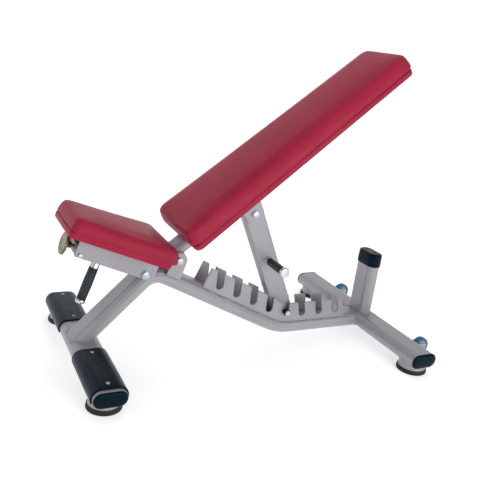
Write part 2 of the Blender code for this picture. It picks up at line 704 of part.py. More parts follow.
def pad_plan(length, front, rear, radius, start):
    """A plan outline with round corners, narrow or wide at either end."""
    corners = ((start, -front / 2), (start + length, -rear / 2),
               (start + length, rear / 2), (start, front / 2))
    points = []
    for i, (x, y) in enumerate(corners):
        before = Vector(corners[i - 1]) - Vector((x, y))
        after = Vector(corners[(i + 1) % 4]) - Vector((x, y))
        before.normalize()
        after.normalize()
        inner = before.angle(after)
        reach = radius / tan(inner / 2)
        centre = Vector((x, y)) + (before + after).normalized() * (radius / sin(inner / 2))
        a = Vector((x, y)) + before * reach - centre
        turn = pi - inner
        begin = math.atan2(a.y, a.x)
        points += arc(centre.x, centre.y, radius, begin, begin + turn, 5)
    return points


def board_and_pad(prefix, start, length, front, rear, seat_height, thick, parent):
    inset = 0.006
    board = pad_plan(length - 2 * inset, front - 2 * inset, rear - 2 * inset, 0.020,
                     start + inset)
    flat_solid(prefix + "_board", [board], BOARD_THICK, LEVEL,
               Vector((0, 0, seat_height + BOARD_THICK / 2)), WOOD, parent)
    pad = pad_plan(length, front, rear, 0.026, start)
    low = seat_height + BOARD_THICK + GAP
    flat_solid(prefix + "_pad", [pad], thick, LEVEL, Vector((0, 0, low + thick / 2)), VINYL,
               parent, edge=0.009)


board_and_pad("back", BACK_START, BACK_LENGTH, BACK_WIDTH, BACK_HEAD_WIDTH, BACK_SEAT_HEIGHT,
              BACK_PAD_THICK, back)


# ------------------------------------------------------------------ prop and its ears
ear_height = BACK_SEAT_HEIGHT - PROP_BELOW


def prop_ear(name, side):
    """A round-ended cheek welded under the spine, one each side of the prop."""
    top = spine_top - SPINE_HEIGHT / 2
    outline = (arc(PROP_ALONG, ear_height, EAR_RADIUS, pi, 2 * pi, 14)
               + [(PROP_ALONG + EAR_RADIUS + 0.004, top), (PROP_ALONG - EAR_RADIUS - 0.004, top)])
    ear = flat_solid(name, [outline], PLATE_THICK, UPRIGHT,
                     Vector((0, side * (EAR_INNER + EAR_OUTER) / 2, 0)), FRAME_PAINT, back)
    spine_room = flat_solid("spine_room_" + name,
                            [obround(SPINE_WIDTH + 2 * GAP, SPINE_HEIGHT + 2 * GAP)],
                            SPINE_LENGTH, ENDWAYS,
                            Vector((SPINE_LENGTH / 2, 0, spine_top - SPINE_HEIGHT / 2)),
                            None, back, cutters)
    hole = rod("pin_room_" + name, PIVOT_BOLT_RADIUS + GAP, -0.1, 0.1, (0, 1, 0),
               Vector((PROP_ALONG, 0, ear_height)), None, back, cutters)
    return cut(ear, spine_room, hole)


for word, side in SIDES:
    prop_ear("prop_ear_" + word, side)
bolt("prop_bolt", PIVOT_BOLT_RADIUS, EAR_OUTER, Vector((PROP_ALONG, 0, ear_height)), back,
     head=0.006)

prop = pivot("prop_pivot", PROP_ALONG, ear_height, -PROP_LEAN - BACK_ANGLE, back)


def prop_tube():
    """A rectangular tube, round over its pivot and trimmed level over the frame tube."""
    wall = TUBE_WALL
    length = PROP_REACH + 2 * PROP_OVER
    outlines = [rounded_box(PROP_DEPTH, PROP_WIDTH, 0.009),
                rounded_box(PROP_DEPTH - 2 * wall, PROP_WIDTH - 2 * wall, 0.006)]
    tube = flat_solid("prop_tube", outlines, length, ENDWAYS,
                      Vector((length / 2 - PROP_OVER, 0, 0)), FRAME_PAINT, prop)
    holes = [rod("prop_hole_" + str(i), r + GAP, -0.1, 0.1, (0, 1, 0), Vector((x, 0, 0)), None,
                 prop, cutters) for i, (x, r) in enumerate(
                     ((0.0, PIVOT_BOLT_RADIUS), (PROP_REACH, BAR_RADIUS)))]
    x, z = LOCK_BAR
    level = block("prop_trim", (x - 0.2, -0.1, z - 0.3), (x + 0.2, 0.1, z - BAR_RADIUS - 0.008))
    return cut(tube, *holes, level)


prop_tube()
bar_at = Vector((PROP_REACH, 0, 0))
BUSH_OUTER = LADDER_OUTER + 0.0155
bar_head = 0.007
bar_half = BUSH_OUTER + GAP
bar_profile = [(0.0, bar_half + bar_head), (BAR_RADIUS * 0.85, bar_half + bar_head),
               (BAR_RADIUS * 1.12, bar_half + bar_head - 0.0025), (BAR_RADIUS * 1.12, bar_half),
               (BAR_RADIUS, bar_half)]
bar_profile += [(r, -h) for r, h in reversed(bar_profile)]
turned_solid("lock_bar", bar_profile, (0, 1, 0), bar_at, CHROME, prop)
for word, side in SIDES:
    start, end = sorted((side * (LADDER_OUTER + RUN), side * BUSH_OUTER))
    ring("bar_bush_" + word, BAR_RADIUS + GAP, BUSH_RADIUS, start, end, (0, 1, 0), bar_at,
         PLASTIC, prop)

peg_at = Vector((PEG_DOWN, 0, 0))
peg_root = -(PROP_HALF + GAP)
peg_tip = peg_root - PEG_LENGTH
collar = 0.010
cap_long = 0.011
core = PEG_RADIUS - 0.004
peg_core = [(0.0, peg_root), (PEG_RADIUS, peg_root), (PEG_RADIUS, peg_root - collar),
            (core, peg_root - collar), (core, peg_tip + cap_long), (0.0168, peg_tip + cap_long),
            (0.0170, peg_tip + 0.003), (0.0145, peg_tip), (0.0, peg_tip)]
turned_solid("peg_core", peg_core, (0, 1, 0), peg_at, CHROME, prop)
ring("peg_grip", core + GAP, PEG_RADIUS, peg_tip + cap_long + GAP, peg_root - collar - GAP,
     (0, 1, 0), peg_at, RUBBER, prop)


# ------------------------------------------------------------------ seat rail, board and pad
seat = pivot("seat_pivot", *SEAT_PIVOT, -SEAT_ANGLE)


def seat_rail():
    """A folded channel, open below, that straddles the frame tube at its rear."""
    outline = [(-RAIL_FRONT, RAIL_TOP), (-RAIL_FRONT, -RAIL_FRONT_DROP),
               (RAIL_REAR - 0.020, -RAIL_REAR_DROP)]
    outline += arc(RAIL_REAR - 0.020, -RAIL_REAR_DROP + 0.020, 0.020, -pi / 2, 0.0, 6)
    outline += [(RAIL_REAR, RAIL_TOP)]
    rail = flat_solid("seat_rail", [outline], 2 * RAIL_HALF, UPRIGHT, ORIGIN, FRAME_PAINT, seat)
    trough = block("rail_trough", (-0.4, -RAIL_INNER, -0.2),
                   (0.4, RAIL_INNER, RAIL_TOP - RAIL_WALL), None, seat)
    hole = rod("seat_bolt_room", PIVOT_BOLT_RADIUS + GAP, -0.1, 0.1, (0, 1, 0), ORIGIN, None,
               seat, cutters)
    return cut(rail, trough, hole, guide_hole)


guide_hole = rod("guide_hole", GUIDE_BOLT_RADIUS + GAP, -0.1, 0.1, (0, 1, 0),
                 Vector((GUIDE_X, 0, GUIDE_BOLT_HEIGHT)), None, seat, cutters, steps=16)
seat_rail()
board_and_pad("seat", -SEAT_FRONT, SEAT_FRONT + SEAT_REAR, SEAT_FRONT_WIDTH, SEAT_REAR_WIDTH,
              RAIL_TOP + GAP, SEAT_PAD_THICK, seat)

# The seat's bolt runs through a hole drilled across the frame tube's crown.
bolt("seat_bolt", PIVOT_BOLT_RADIUS, RAIL_HALF, place(*SEAT_PIVOT))
crown_hole = rod("crown_hole", PIVOT_BOLT_RADIUS + GAP, -0.1, 0.1, (0, 1, 0),
                 place(*SEAT_PIVOT), None, None, cutters)
cut(frame_tube, crown_hole)


# ------------------------------------------------------------------ latch guide, front grip
latch = pivot("latch_slide", 0.0, LATCH_HEIGHT, 0.0, seat)


def latch_guide():
    """A steel block between the rail's walls: it guides the pull rod and carries the grip."""
    guide = block("latch_guide", (GUIDE_X - 0.011, -RAIL_INNER + GAP, GUIDE_LOW),
                  (GUIDE_REAR, RAIL_INNER - GAP, LATCH_HEIGHT + GUIDE_RISE), FRAME_PAINT, seat,
                  bench)
    at = Vector((0, 0, LATCH_HEIGHT))
    bore = rod("latch_room", LATCH_RADIUS + RUN, -0.5, 0.5, (1, 0, 0), at, None, seat, cutters)
    pocket = rod("spring_pocket", SPRING_RADIUS + SPRING_WIRE + RUN, GUIDE_REAR - POCKET, 0.0,
                 (1, 0, 0), at, None, seat, cutters)
    return cut(guide, bore, pocket, guide_hole)


def front_grip():
    """A rod screwed up into the guide block, with a rubber sleeve between bright ends."""
    at = Vector((-GRIP_AHEAD, 0, 0))
    root = GUIDE_LOW - GAP
    collar_end = root - 0.030
    sleeve_end = -GRIP_BOTTOM + 0.012
    inner = GRIP_RADIUS - 0.004
    profile = [(0.0, root), (GRIP_RADIUS, root), (GRIP_RADIUS, collar_end),
               (inner, collar_end), (inner, sleeve_end), (GRIP_RADIUS, sleeve_end),
               (GRIP_RADIUS, -GRIP_BOTTOM + 0.003), (GRIP_RADIUS - 0.003, -GRIP_BOTTOM),
               (0.0, -GRIP_BOTTOM)]
    turned_solid("grip_core", profile, (0, 0, 1), at, CHROME, seat)
    ring("grip_sleeve", inner + GAP, GRIP_RADIUS, sleeve_end + GAP, collar_end - GAP, (0, 0, 1),
         at, RUBBER, seat)


latch_guide()
front_grip()
bolt("guide_bolt", GUIDE_BOLT_RADIUS, RAIL_HALF, Vector((GUIDE_X, 0, GUIDE_BOLT_HEIGHT)), seat,
     head=0.0035, nut=0.0035)


# ------------------------------------------------------------------ seat latch
def lock_sector():
    """A block coped to the crown, round in front, with a hole for each seat position."""
    x, z = SEAT_PIVOT
    middle = pi - SEAT_ANGLE
    outline = arc(x, z, SECTOR_RADIUS, middle - SECTOR_UP, middle + SECTOR_DOWN, 16) + [(x, z)]
    strip = flat_solid("lock_sector", [outline], SECTOR_WIDTH, UPRIGHT, ORIGIN, FRAME_PAINT)
    tilt = math.atan2(LATCH_HEIGHT, SECTOR_RADIUS)
    holes = []
    for i, step in enumerate(SEAT_STEPS):
        turn = middle - tilt + radians(step)
        holes.append(rod("sector_hole_" + str(i), LATCH_RADIUS + RUN, SECTOR_CORE, 0.1,
                         (cos(turn), 0, sin(turn)), place(x, z), None, None, cutters))
    return cut(strip, frame_cutter, crown_hole, *holes)


def latch_rod():
    """The pull rod: its finger plate in front, a collar for the spring, and the lock tip."""
    tip = -(SECTOR_RADIUS + LATCH_CLEAR)
    face = -(RAIL_FRONT + LATCH_PULL_OUT)
    collar_at = GUIDE_REAR + SPRING_LENGTH
    edge = 0.0012
    profile = [(0.0, tip), (LATCH_RADIUS - 0.002, tip), (LATCH_RADIUS, tip - 0.003),
               (LATCH_RADIUS, collar_at + 0.006), (SPRING_RADIUS + 0.001, collar_at + 0.006),
               (SPRING_RADIUS + 0.001, collar_at), (LATCH_RADIUS, collar_at),
               (LATCH_RADIUS, face + 0.004), (LATCH_PLATE_RADIUS - edge, face + 0.004),
               (LATCH_PLATE_RADIUS, face + 0.004 - edge), (LATCH_PLATE_RADIUS, face + edge),
               (LATCH_PLATE_RADIUS - edge, face), (0.0, face)]
    return turned_solid("latch_rod", profile, (1, 0, 0), ORIGIN, BRASS, latch, steps=28)


def latch_spring():
    """A coil round the rod, from the guide's pocket to the rod's collar."""
    turns = 5
    per_turn = 10
    low = GUIDE_REAR - 0.001
    high = GUIDE_REAR + SPRING_LENGTH - SPRING_WIRE - GAP
    curve = bpy.data.curves.new("latch_spring", "CURVE")
    curve.dimensions = "3D"
    curve.bevel_depth = SPRING_WIRE
    curve.bevel_resolution = 2
    curve.use_fill_caps = True
    spline = curve.splines.new("POLY")
    count = turns * per_turn
    spline.points.add(count)
    middle = LATCH_RADIUS + SPRING_WIRE + RUN
    for i, point in enumerate(spline.points):
        swing = 2 * pi * i / per_turn
        point.co = (low + (high - low) * i / count, middle * cos(swing), middle * sin(swing), 1.0)
    obj = bpy.data.objects.new("latch_spring", curve)
    return adopt(obj, ZINC, latch)


lock_sector()
latch_rod()
latch_spring()


# ------------------------------------------------------------------ over its own middle
def extent_along_x():
    """Least and greatest X over every visible vertex."""
    graph = bpy.context.evaluated_depsgraph_get()
    low, high = 1e9, -1e9
    for obj in bench.objects:
        if obj.type == "EMPTY":
            continue
        seen = obj.evaluated_get(graph)
        mesh = seen.to_mesh()
        for vert in mesh.vertices:
            x = (seen.matrix_world @ vert.co).x
            low = min(low, x)
            high = max(high, x)
        seen.to_mesh_clear()
    return low, high


bpy.context.view_layer.update()
low_x, high_x = extent_along_x()
for obj in list(bench.objects) + list(cutters.objects):
    if obj.parent is None:
        obj.location.x -= (low_x + high_x) / 2
for obj in bench.objects:
    if obj.type == "MESH":
        smooth(obj)
bpy.context.view_layer.update()
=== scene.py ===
# %% [markdown]
# An adjustable weight bench, dressed for its picture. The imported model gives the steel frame,
# the joints and every size. This lesson adds what a machine shop and an upholsterer add: paint,
# welds, hex bolts, moulded caps, sewn vinyl and rubber. Everything is in metres, +Z is up, the
# seat end is towards -X and the head end towards +X.

# %% Load the frame and keep its box
import json
from math import atan2, copysign, cos, pi, radians, sin, sqrt, tan

import bmesh
import bpy
from mathutils import Matrix, Vector
from mathutils.bvhtree import BVHTree


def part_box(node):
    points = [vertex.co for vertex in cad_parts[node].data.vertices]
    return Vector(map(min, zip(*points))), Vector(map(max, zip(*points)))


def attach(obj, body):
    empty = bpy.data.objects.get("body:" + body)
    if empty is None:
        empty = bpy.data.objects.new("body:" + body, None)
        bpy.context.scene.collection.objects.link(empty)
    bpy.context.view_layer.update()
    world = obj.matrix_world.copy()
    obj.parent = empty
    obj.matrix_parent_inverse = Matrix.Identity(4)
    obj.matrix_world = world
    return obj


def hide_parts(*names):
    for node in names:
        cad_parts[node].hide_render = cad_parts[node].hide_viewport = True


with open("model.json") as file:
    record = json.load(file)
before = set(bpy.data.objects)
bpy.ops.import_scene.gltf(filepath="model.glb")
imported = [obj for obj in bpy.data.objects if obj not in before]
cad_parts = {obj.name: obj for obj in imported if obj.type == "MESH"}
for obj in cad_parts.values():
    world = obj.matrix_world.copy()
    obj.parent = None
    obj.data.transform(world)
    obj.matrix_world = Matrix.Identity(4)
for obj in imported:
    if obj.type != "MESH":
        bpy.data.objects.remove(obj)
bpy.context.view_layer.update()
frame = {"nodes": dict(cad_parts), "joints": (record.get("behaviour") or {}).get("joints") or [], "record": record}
slot_of = {row["node"]: row["material_slot"] for row in frame["record"]["subparts"]}
hinge_at = {joint["name"]: Vector(joint["pos_m"]) for joint in frame["joints"] if "pos_m" in joint}

# %% [markdown]
# Four tilted work planes carry most of the pieces: the back, the prop, the seat and the front
# leg. A work plane is a matrix whose first column runs along the piece and whose third column
# stands square to it, so a piece can be drawn flat and then laid in place.

# %% Work planes
BACK_ANGLE = radians(39.6)
SEAT_ANGLE = radians(18.5)
LEG_ANGLE = radians(45.5)
PROP_LEAN = radians(64.67)
SIDES = (("near", -1), ("far", 1))


def from_columns(*columns):
    """A placing matrix from three directions and an origin."""
    made = Matrix.Identity(4)
    for column, axis in enumerate(columns):
        for row in range(3):
            made[row][column] = axis[row]
    return made


def plane(origin, rise):
    """Columns: along the piece, across the bench, square to the piece, origin."""
    return from_columns((cos(rise), 0, sin(rise)), (0, 1, 0), (-sin(rise), 0, cos(rise)), origin)


back_plane = plane(hinge_at["back_recline"], BACK_ANGLE)
seat_plane = plane(hinge_at["seat_tilt"], -SEAT_ANGLE)
prop_plane = plane(hinge_at["prop_swing"], -PROP_LEAN)
front_low, front_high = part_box("front_base_tube")
rear_low, rear_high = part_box("rear_base_tube")
FRONT_X = (front_low.x + front_high.x) / 2
REAR_X = (rear_low.x + rear_high.x) / 2
BASE_Z = (front_low.z + front_high.z) / 2
print("front base at", round(FRONT_X, 4), "rear base at", round(REAR_X, 4))

# %% [markdown]
# Finishes come first. Each one is a small tree of procedural nodes on a Principled shader. The
# textures use object coordinates, which are metres here, so a scale of 900 makes cells about a
# millimetre across on every piece alike.

# %% A blank finish


def finish(name, colour, roughness, metallic=0.0):
    """A new material with its shader; constants go straight on the shader's sockets."""
    made = bpy.data.materials.new(name)
    made.use_nodes = True
    tree = made.node_tree
    shader = tree.nodes["Principled BSDF"]
    shader.inputs["Base Color"].default_value = (*colour, 1.0)
    shader.inputs["Roughness"].default_value = roughness
    shader.inputs["Metallic"].default_value = metallic
    where = tree.nodes.new("ShaderNodeTexCoord")
    return made, tree, shader, where.outputs["Object"]

# %% [markdown]
# Two patterns do all the work. Noise gives clouds, dust and, when it is stretched, brushed or
# drawn streaks. Voronoi cells give pebbles, pores and the grain of a spark-eroded tool.

# %% Grey patterns


def noise(tree, where, scale, detail=3.0, stretch=None):
    """Cloudy grey values; stretch lengthens them along an axis for brushed or drawn metal."""
    made = tree.nodes.new("ShaderNodeTexNoise")
    made.inputs["Scale"].default_value = scale
    made.inputs["Detail"].default_value = detail
    source = where
    if stretch:
        mapping = tree.nodes.new("ShaderNodeMapping")
        mapping.inputs["Scale"].default_value = stretch
        tree.links.new(where, mapping.inputs["Vector"])
        source = mapping.outputs["Vector"]
    tree.links.new(source, made.inputs["Vector"])
    return made.outputs["Fac"]


def cells(tree, where, scale, feature="F1"):
    """Little rounded cells, as in leather grain, cast rubber or tumbled plastic."""
    made = tree.nodes.new("ShaderNodeTexVoronoi")
    made.feature = feature
    made.inputs["Scale"].default_value = scale
    tree.links.new(where, made.inputs["Vector"])
    return made.outputs["Distance"]

# %% [markdown]
# A grey pattern becomes a colour through a ramp, a roughness through a range, and relief through
# a bump node. Relief heights are given in metres, so they stay true to the real surface.

# %% From a pattern to colour, roughness and relief


def ramp(tree, value, stops):
    """Grey values turned into colours."""
    made = tree.nodes.new("ShaderNodeValToRGB")
    bar = made.color_ramp
    while len(bar.elements) < len(stops):
        bar.elements.new(0.5)
    for element, (spot, colour) in zip(bar.elements, stops):
        element.position = spot
        element.color = (*colour, 1.0)
    tree.links.new(value, made.inputs["Fac"])
    return made.outputs["Color"]


def spread(tree, value, low, high):
    """Grey values moved into a range, for roughness."""
    made = tree.nodes.new("ShaderNodeMapRange")
    made.inputs["From Min"].default_value = 0.3
    made.inputs["From Max"].default_value = 0.7
    made.inputs["To Min"].default_value = low
    made.inputs["To Max"].default_value = high
    tree.links.new(value, made.inputs["Value"])
    return made.outputs["Result"]


def bump(tree, shader, layers):
    """Relief from (grey value, height in metres, strength) layers, coarse one first."""
    normal = None
    for value, height, strength in layers:
        made = tree.nodes.new("ShaderNodeBump")
        made.inputs["Distance"].default_value = height
        made.inputs["Strength"].default_value = strength
        tree.links.new(value, made.inputs["Height"])
        if normal is not None:
            tree.links.new(normal, made.inputs["Normal"])
        normal = made.outputs["Normal"]
    tree.links.new(normal, shader.inputs["Normal"])


def shade_of(colour, factor):
    """The same colour, lighter or darker."""
    return tuple(min(1.0, c * factor) for c in colour)


def tint(tree, shader, value, *stops):
    """Drive the colour from a grey value."""
    tree.links.new(ramp(tree, value, stops), shader.inputs["Base Color"])


def wear(tree, shader, value, low, high):
    """Drive the roughness from a grey value."""
    tree.links.new(spread(tree, value, low, high), shader.inputs["Roughness"])

# %% [markdown]
# The steel wears a silver-grey powder coat. Powder melts and flows in an oven, which leaves a
# faint orange peel a few millimetres across and tiny metallic flakes in it. So the colour
# drifts by a few per cent, the roughness drifts with it, and two layers of relief sit on top.

# %% Powder coat
SILVER = (0.330, 0.318, 0.345)
silver_paint, tree, shader, where = finish("silver_paint", SILVER, 0.42, 0.22)
cloud = noise(tree, where, 9.0, 4.0)
tint(tree, shader, cloud, (0.30, shade_of(SILVER, 0.94)), (0.70, shade_of(SILVER, 1.05)))
peel = noise(tree, where, 420.0, 2.0)
wear(tree, shader, peel, 0.36, 0.47)
bump(tree, shader, ((peel, 0.0004, 0.10), (cells(tree, where, 2600.0), 0.0001, 0.10)))
shader.inputs["Coat Weight"].default_value = 0.12
shader.inputs["Coat Roughness"].default_value = 0.25
print("powder coat ready")

# %% [markdown]
# Upholstery vinyl is a soft plastic skin on a knitted backing, pressed with a leather grain.
# Two sizes of cells give the pebbles and the fine pores between them, a slow cloud gives the
# uneven dye and the wear on top. It is only faintly glossy, so its colour stays deep.

# %% Crimson vinyl
CRIMSON = (0.345, 0.018, 0.048)
crimson_vinyl, tree, shader, where = finish("crimson_vinyl", CRIMSON, 0.44)
dye = noise(tree, where, 7.0, 5.0)
tint(tree, shader, dye, (0.28, shade_of(CRIMSON, 0.90)), (0.72, shade_of(CRIMSON, 1.10)))
pebble = cells(tree, where, 620.0, "SMOOTH_F1")
pores = cells(tree, where, 1500.0)
wear(tree, shader, noise(tree, where, 60.0, 4.0), 0.37, 0.47)
bump(tree, shader, ((noise(tree, where, 26.0, 2.0), 0.003, 0.10), (pebble, 0.0005, 0.22),
                    (pores, 0.0002, 0.15)))
shader.inputs["Specular IOR Level"].default_value = 0.10
print("vinyl ready")

# %% [markdown]
# The thread is bonded polyester dyed to match the vinyl, a shade darker. A twist shows as fine bands of light and
# shade, so a fine noise drives its relief and also paints those bands into its colour as painted highlight and
# painted shade.

# %% Thread
thread_red, tree, shader, where = finish("crimson_thread", (0.28, 0.016, 0.042), 0.55)
twist_relief_and_shade = noise(tree, where, 900.0, 2.0)
# Painted highlight and painted shade: the ramp lightens and darkens the thread's colour along the same noise that
# gives its relief.
tint(tree, shader, twist_relief_and_shade, (0.35, (0.20, 0.012, 0.030)), (0.65, (0.34, 0.022, 0.055)))
bump(tree, shader, ((twist_relief_and_shade, 0.0003, 0.4),))
print("thread ready")

# %% [markdown]
# The caps and jackets are injection moulded, black with a hint of blue, and come out of a tool that was
# spark-eroded to a satin grain; their reflections are tinted blue, a painted reflection colour. The foot rings and
# hand grips are rubber: softer, duller, and dusty where they have been handled.

# %% Black plastic and black rubber
JET = (0.0016, 0.0048, 0.0090)
black_plastic, tree, shader, where = finish("black_plastic", JET, 0.30)
haze = noise(tree, where, 34.0, 5.0)
tint(tree, shader, haze, (0.30, JET), (0.75, shade_of(JET, 1.9)))
wear(tree, shader, haze, 0.24, 0.36)
bump(tree, shader, ((cells(tree, where, 1300.0), 0.0002, 0.10),))
shader.inputs["Specular IOR Level"].default_value = 0.12
# Painted reflection colour: the specular tint turns the reflections on the caps and jackets blue.
shader.inputs["Specular Tint"].default_value = (0.28, 0.68, 1.0, 1.0)

TAR = (0.0050, 0.0055, 0.0060)
black_rubber, tree, shader, where = finish("black_rubber", TAR, 0.68)
dust = noise(tree, where, 55.0, 6.0)
tint(tree, shader, dust, (0.35, TAR), (0.85, (0.016, 0.017, 0.018)))
wear(tree, shader, dust, 0.58, 0.78)
bump(tree, shader, ((noise(tree, where, 700.0, 3.0), 0.0004, 0.25),))

GRIP_BLUE = (0.0055, 0.0100, 0.0150)
grip_rubber, tree, shader, where = finish("grip_rubber", GRIP_BLUE, 0.5)
hand = noise(tree, where, 70.0, 5.0)
tint(tree, shader, hand, (0.30, GRIP_BLUE), (0.78, shade_of(GRIP_BLUE, 2.2)))
bump(tree, shader, ((cells(tree, where, 900.0), 0.0003, 0.3),))
print("plastic and rubbers ready")

# %% [markdown]
# Three plated metals: bright chrome on the lock bar and the grips, clear zinc on the bolts,
# which dulls to a bluish grey, and yellow passivated zinc on the seat's pull plate. Fine drawn
# scratches in the roughness keep them from looking like mirrors.

# %% Chrome, zinc and yellow zinc


def plated(name, colour, low, high, stain):
    """Bright metal that is a little stained and finely scratched."""
    made, tree, shader, where = finish(name, colour, low, 1.0)
    drawn = noise(tree, where, 260.0, 4.0, (1.0, 0.12, 1.0))
    wear(tree, shader, drawn, low, high)
    tint(tree, shader, noise(tree, where, 45.0, 4.0), (0.30, stain), (0.62, colour))
    bump(tree, shader, ((drawn, 0.0001, 0.12),))
    return made


chrome = plated("chrome", (0.68, 0.71, 0.73), 0.16, 0.28, (0.52, 0.56, 0.60))
zinc = plated("zinc", (0.52, 0.57, 0.62), 0.28, 0.42, (0.34, 0.40, 0.47))
yellow_zinc = plated("yellow_zinc", (0.26, 0.225, 0.125), 0.26, 0.40, (0.12, 0.115, 0.070))
print("plated metals ready")

# %% [markdown]
# Under the vinyl is a plywood board. Its underside wears a black dust cloth, and its edge would
# show the plies. The grain is a noise stretched along the board.

# %% Plywood, dust cloth, wheel plastics
plywood, tree, shader, where = finish("plywood", (0.30, 0.20, 0.11), 0.7)
figure = noise(tree, where, 60.0, 6.0, (0.12, 1.0, 1.0))
tint(tree, shader, figure, (0.25, (0.20, 0.12, 0.06)), (0.75, (0.40, 0.28, 0.16)))
bump(tree, shader, ((figure, 0.0006, 0.4),))

dust_cloth, tree, shader, where = finish("dust_cloth", (0.016, 0.016, 0.018), 0.9)
weave = cells(tree, where, 1100.0)
tint(tree, shader, weave, (0.1, (0.010, 0.010, 0.012)), (0.6, (0.034, 0.034, 0.037)))
bump(tree, shader, ((weave, 0.0003, 0.5),))


def moulded(name, colour, roughness):
    """Coloured plastic out of a grained tool."""
    made, tree, shader, where = finish(name, colour, roughness)
    tone = noise(tree, where, 60.0, 4.0)
    tint(tree, shader, tone, (0.3, shade_of(colour, 0.85)), (0.7, shade_of(colour, 1.1)))
    bump(tree, shader, ((cells(tree, where, 1500.0), 0.0002, 0.12),))
    return made


wheel_blue = moulded("wheel_blue", (0.008, 0.13, 0.26), 0.30)
wheel_hub = moulded("wheel_hub", (0.60, 0.70, 0.76), 0.42)
finishes = {"frame_paint": silver_paint, "vinyl": crimson_vinyl, "black_plastic": black_plastic,
            "black_rubber": black_rubber, "chrome": chrome, "zinc": zinc,
            "yellow_zinc": yellow_zinc, "plywood": plywood, "wheel_blue": wheel_blue,
            "wheel_hub": wheel_hub}
print(len(finishes), "finishes for the record's slots")

# %% [markdown]
# The imported pieces whose shape is already right keep their mesh and only change finish.

# %% Dress the imported pieces
for node, obj in frame["nodes"].items():
    obj.data.materials.clear()
    obj.data.materials.append(finishes[slot_of[node]])
print(len(frame["nodes"]), "packed pieces dressed")

# %% [markdown]
# A few shop helpers make nearly every new piece. settle puts a finished bmesh in the scene and
# lets it ride. turn spins a profile like a lathe. layers stacks one outline at several insets
# and heights, which makes domed caps, pads and wraps. sweep_into runs a round section along a
# path. They could be modifiers, but plain mesh code keeps each point where a maker would put it.

# %% Settle a piece
SHARP = radians(32)
ROUND_WORK = radians(80)
RIM_WORK = radians(60)
FLAT = 1e-6


def mesh_of(name, shell):
    """A mesh from a bmesh, which is then let go."""
    mesh = bpy.data.meshes.new(name)
    shell.to_mesh(mesh)
    shell.free()
    return mesh


def new_object(name, data):
    """An object linked to the scene."""
    made = bpy.data.objects.new(name, data)
    bpy.context.scene.collection.objects.link(made)
    return made


def settle(name, shell, body, slot, skin=None, at=None, sharp=SHARP, stands_for=()):
    """Turn a bmesh into a piece on its body; its slot's finish unless it has its own."""
    bmesh.ops.recalc_face_normals(shell, faces=shell.faces)
    mesh = mesh_of(name, shell)
    if at is not None:
        mesh.transform(at)
        if at.determinant() < 0:
            mesh.flip_normals()
    obj = new_object(name, mesh)
    mesh.materials.append(skin or finishes[slot])
    mesh.shade_smooth()
    mesh.set_sharp_from_angle(angle=sharp)
    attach(obj, body)
    if stands_for:
        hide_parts(*stands_for)
    return obj

# %% [markdown]
# Lathe work is a closed profile of (radius, height) pairs, copied round an axis in even steps and
# bridged with squares. Where the profile touches the axis the squares shrink to a fan.

# %% Lathe work


def aim(point, axis):
    """A matrix that carries +Z onto an axis at a point."""
    turn = Vector((0, 0, 1)).rotation_difference(Vector(axis).normalized())
    return Matrix.Translation(point) @ turn.to_matrix().to_4x4()


def bridge(shell, low, high, shift=0):
    """A band of squares between two rings; shift turns the second one round."""
    count = len(low)
    for i in range(count):
        j = (i + 1) % count
        shell.faces.new((low[i], low[j], high[(j + shift) % count], high[(i + shift) % count]))


def fan(shell, ring, tip, closing):
    """Triangles from a ring to one point on the axis, ending the work or starting it."""
    for i in range(len(ring)):
        j = (i + 1) % len(ring)
        shell.faces.new((ring[i], ring[j], tip) if closing else (tip, ring[i], ring[j]))


def turn_into(shell, profile, at, steps=40):
    """Lathe a closed (radius, height) profile into a bmesh."""
    angles = [2 * pi * i / steps for i in range(steps)]
    rings = []
    for radius, height in profile:
        spots = [(0, 0, height)] if radius < FLAT else [
            (radius * cos(a), radius * sin(a), height) for a in angles]
        rings.append([shell.verts.new(at @ Vector(spot)) for spot in spots])
    pairs = list(zip(rings, rings[1:]))
    if profile[0][0] > FLAT:
        pairs.append((rings[-1], rings[0]))
    for low, high in pairs:
        if len(low) == 1:
            fan(shell, high, low[0], False)
        elif len(high) == 1:
            fan(shell, low, high[0], True)
        else:
            bridge(shell, low, high)


def turn(name, profile, at, body, slot, skin=None, steps=40, stands_for=()):
    """A turned piece from one profile."""
    shell = bmesh.new()
    turn_into(shell, profile, at, steps)
    settle(name, shell, body, slot, skin, stands_for=stands_for)

# %% [markdown]
# Tubes, plugs and pads all start from a flat outline made of arcs. Stacking that outline at
# several insets and heights rounds the piece's edges the way a mould or an upholsterer would.

# %% Outlines and layers


def arc(cx, cy, radius, start, end, steps):
    """Points round part of a circle."""
    return [(cx + radius * cos(start + (end - start) * i / steps),
             cy + radius * sin(start + (end - start) * i / steps)) for i in range(steps + 1)]


def obround(width, height, steps=14):
    """A flat oval: two half circles and the straight sides between them."""
    r = height / 2
    reach = width / 2 - r
    return arc(reach, 0, r, -pi / 2, pi / 2, steps) + arc(-reach, 0, r, pi / 2, 3 * pi / 2, steps)


def layers_into(shell, outline_at, levels, hollow=False):
    """Stack outline_at(inset) at each (inset, height); cap both ends unless it is a loop."""
    rings = [[shell.verts.new((x, y, height)) for x, y in outline_at(inset)]
             for inset, height in levels]
    for low, high in zip(rings, rings[1:]):
        bridge(shell, low, high)
    if hollow:
        bridge(shell, rings[-1], rings[0])
    else:
        shell.faces.new(rings[0])
        shell.faces.new(rings[-1])


def layers(name, outline_at, levels, at, body, slot, skin=None, hollow=False, stands_for=()):
    """A piece made of one outline stacked at several insets."""
    shell = bmesh.new()
    layers_into(shell, outline_at, levels, hollow)
    settle(name, shell, body, slot, skin, at, stands_for=stands_for)

# %% [markdown]
# Beads, thread, staples and springs are round sections carried along a path. Each ring is turned
# as little as possible from the one before, so that the sweep never twists, and a closed sweep is
# joined at the turn where its first and last rings match best.

# %% Sweeps


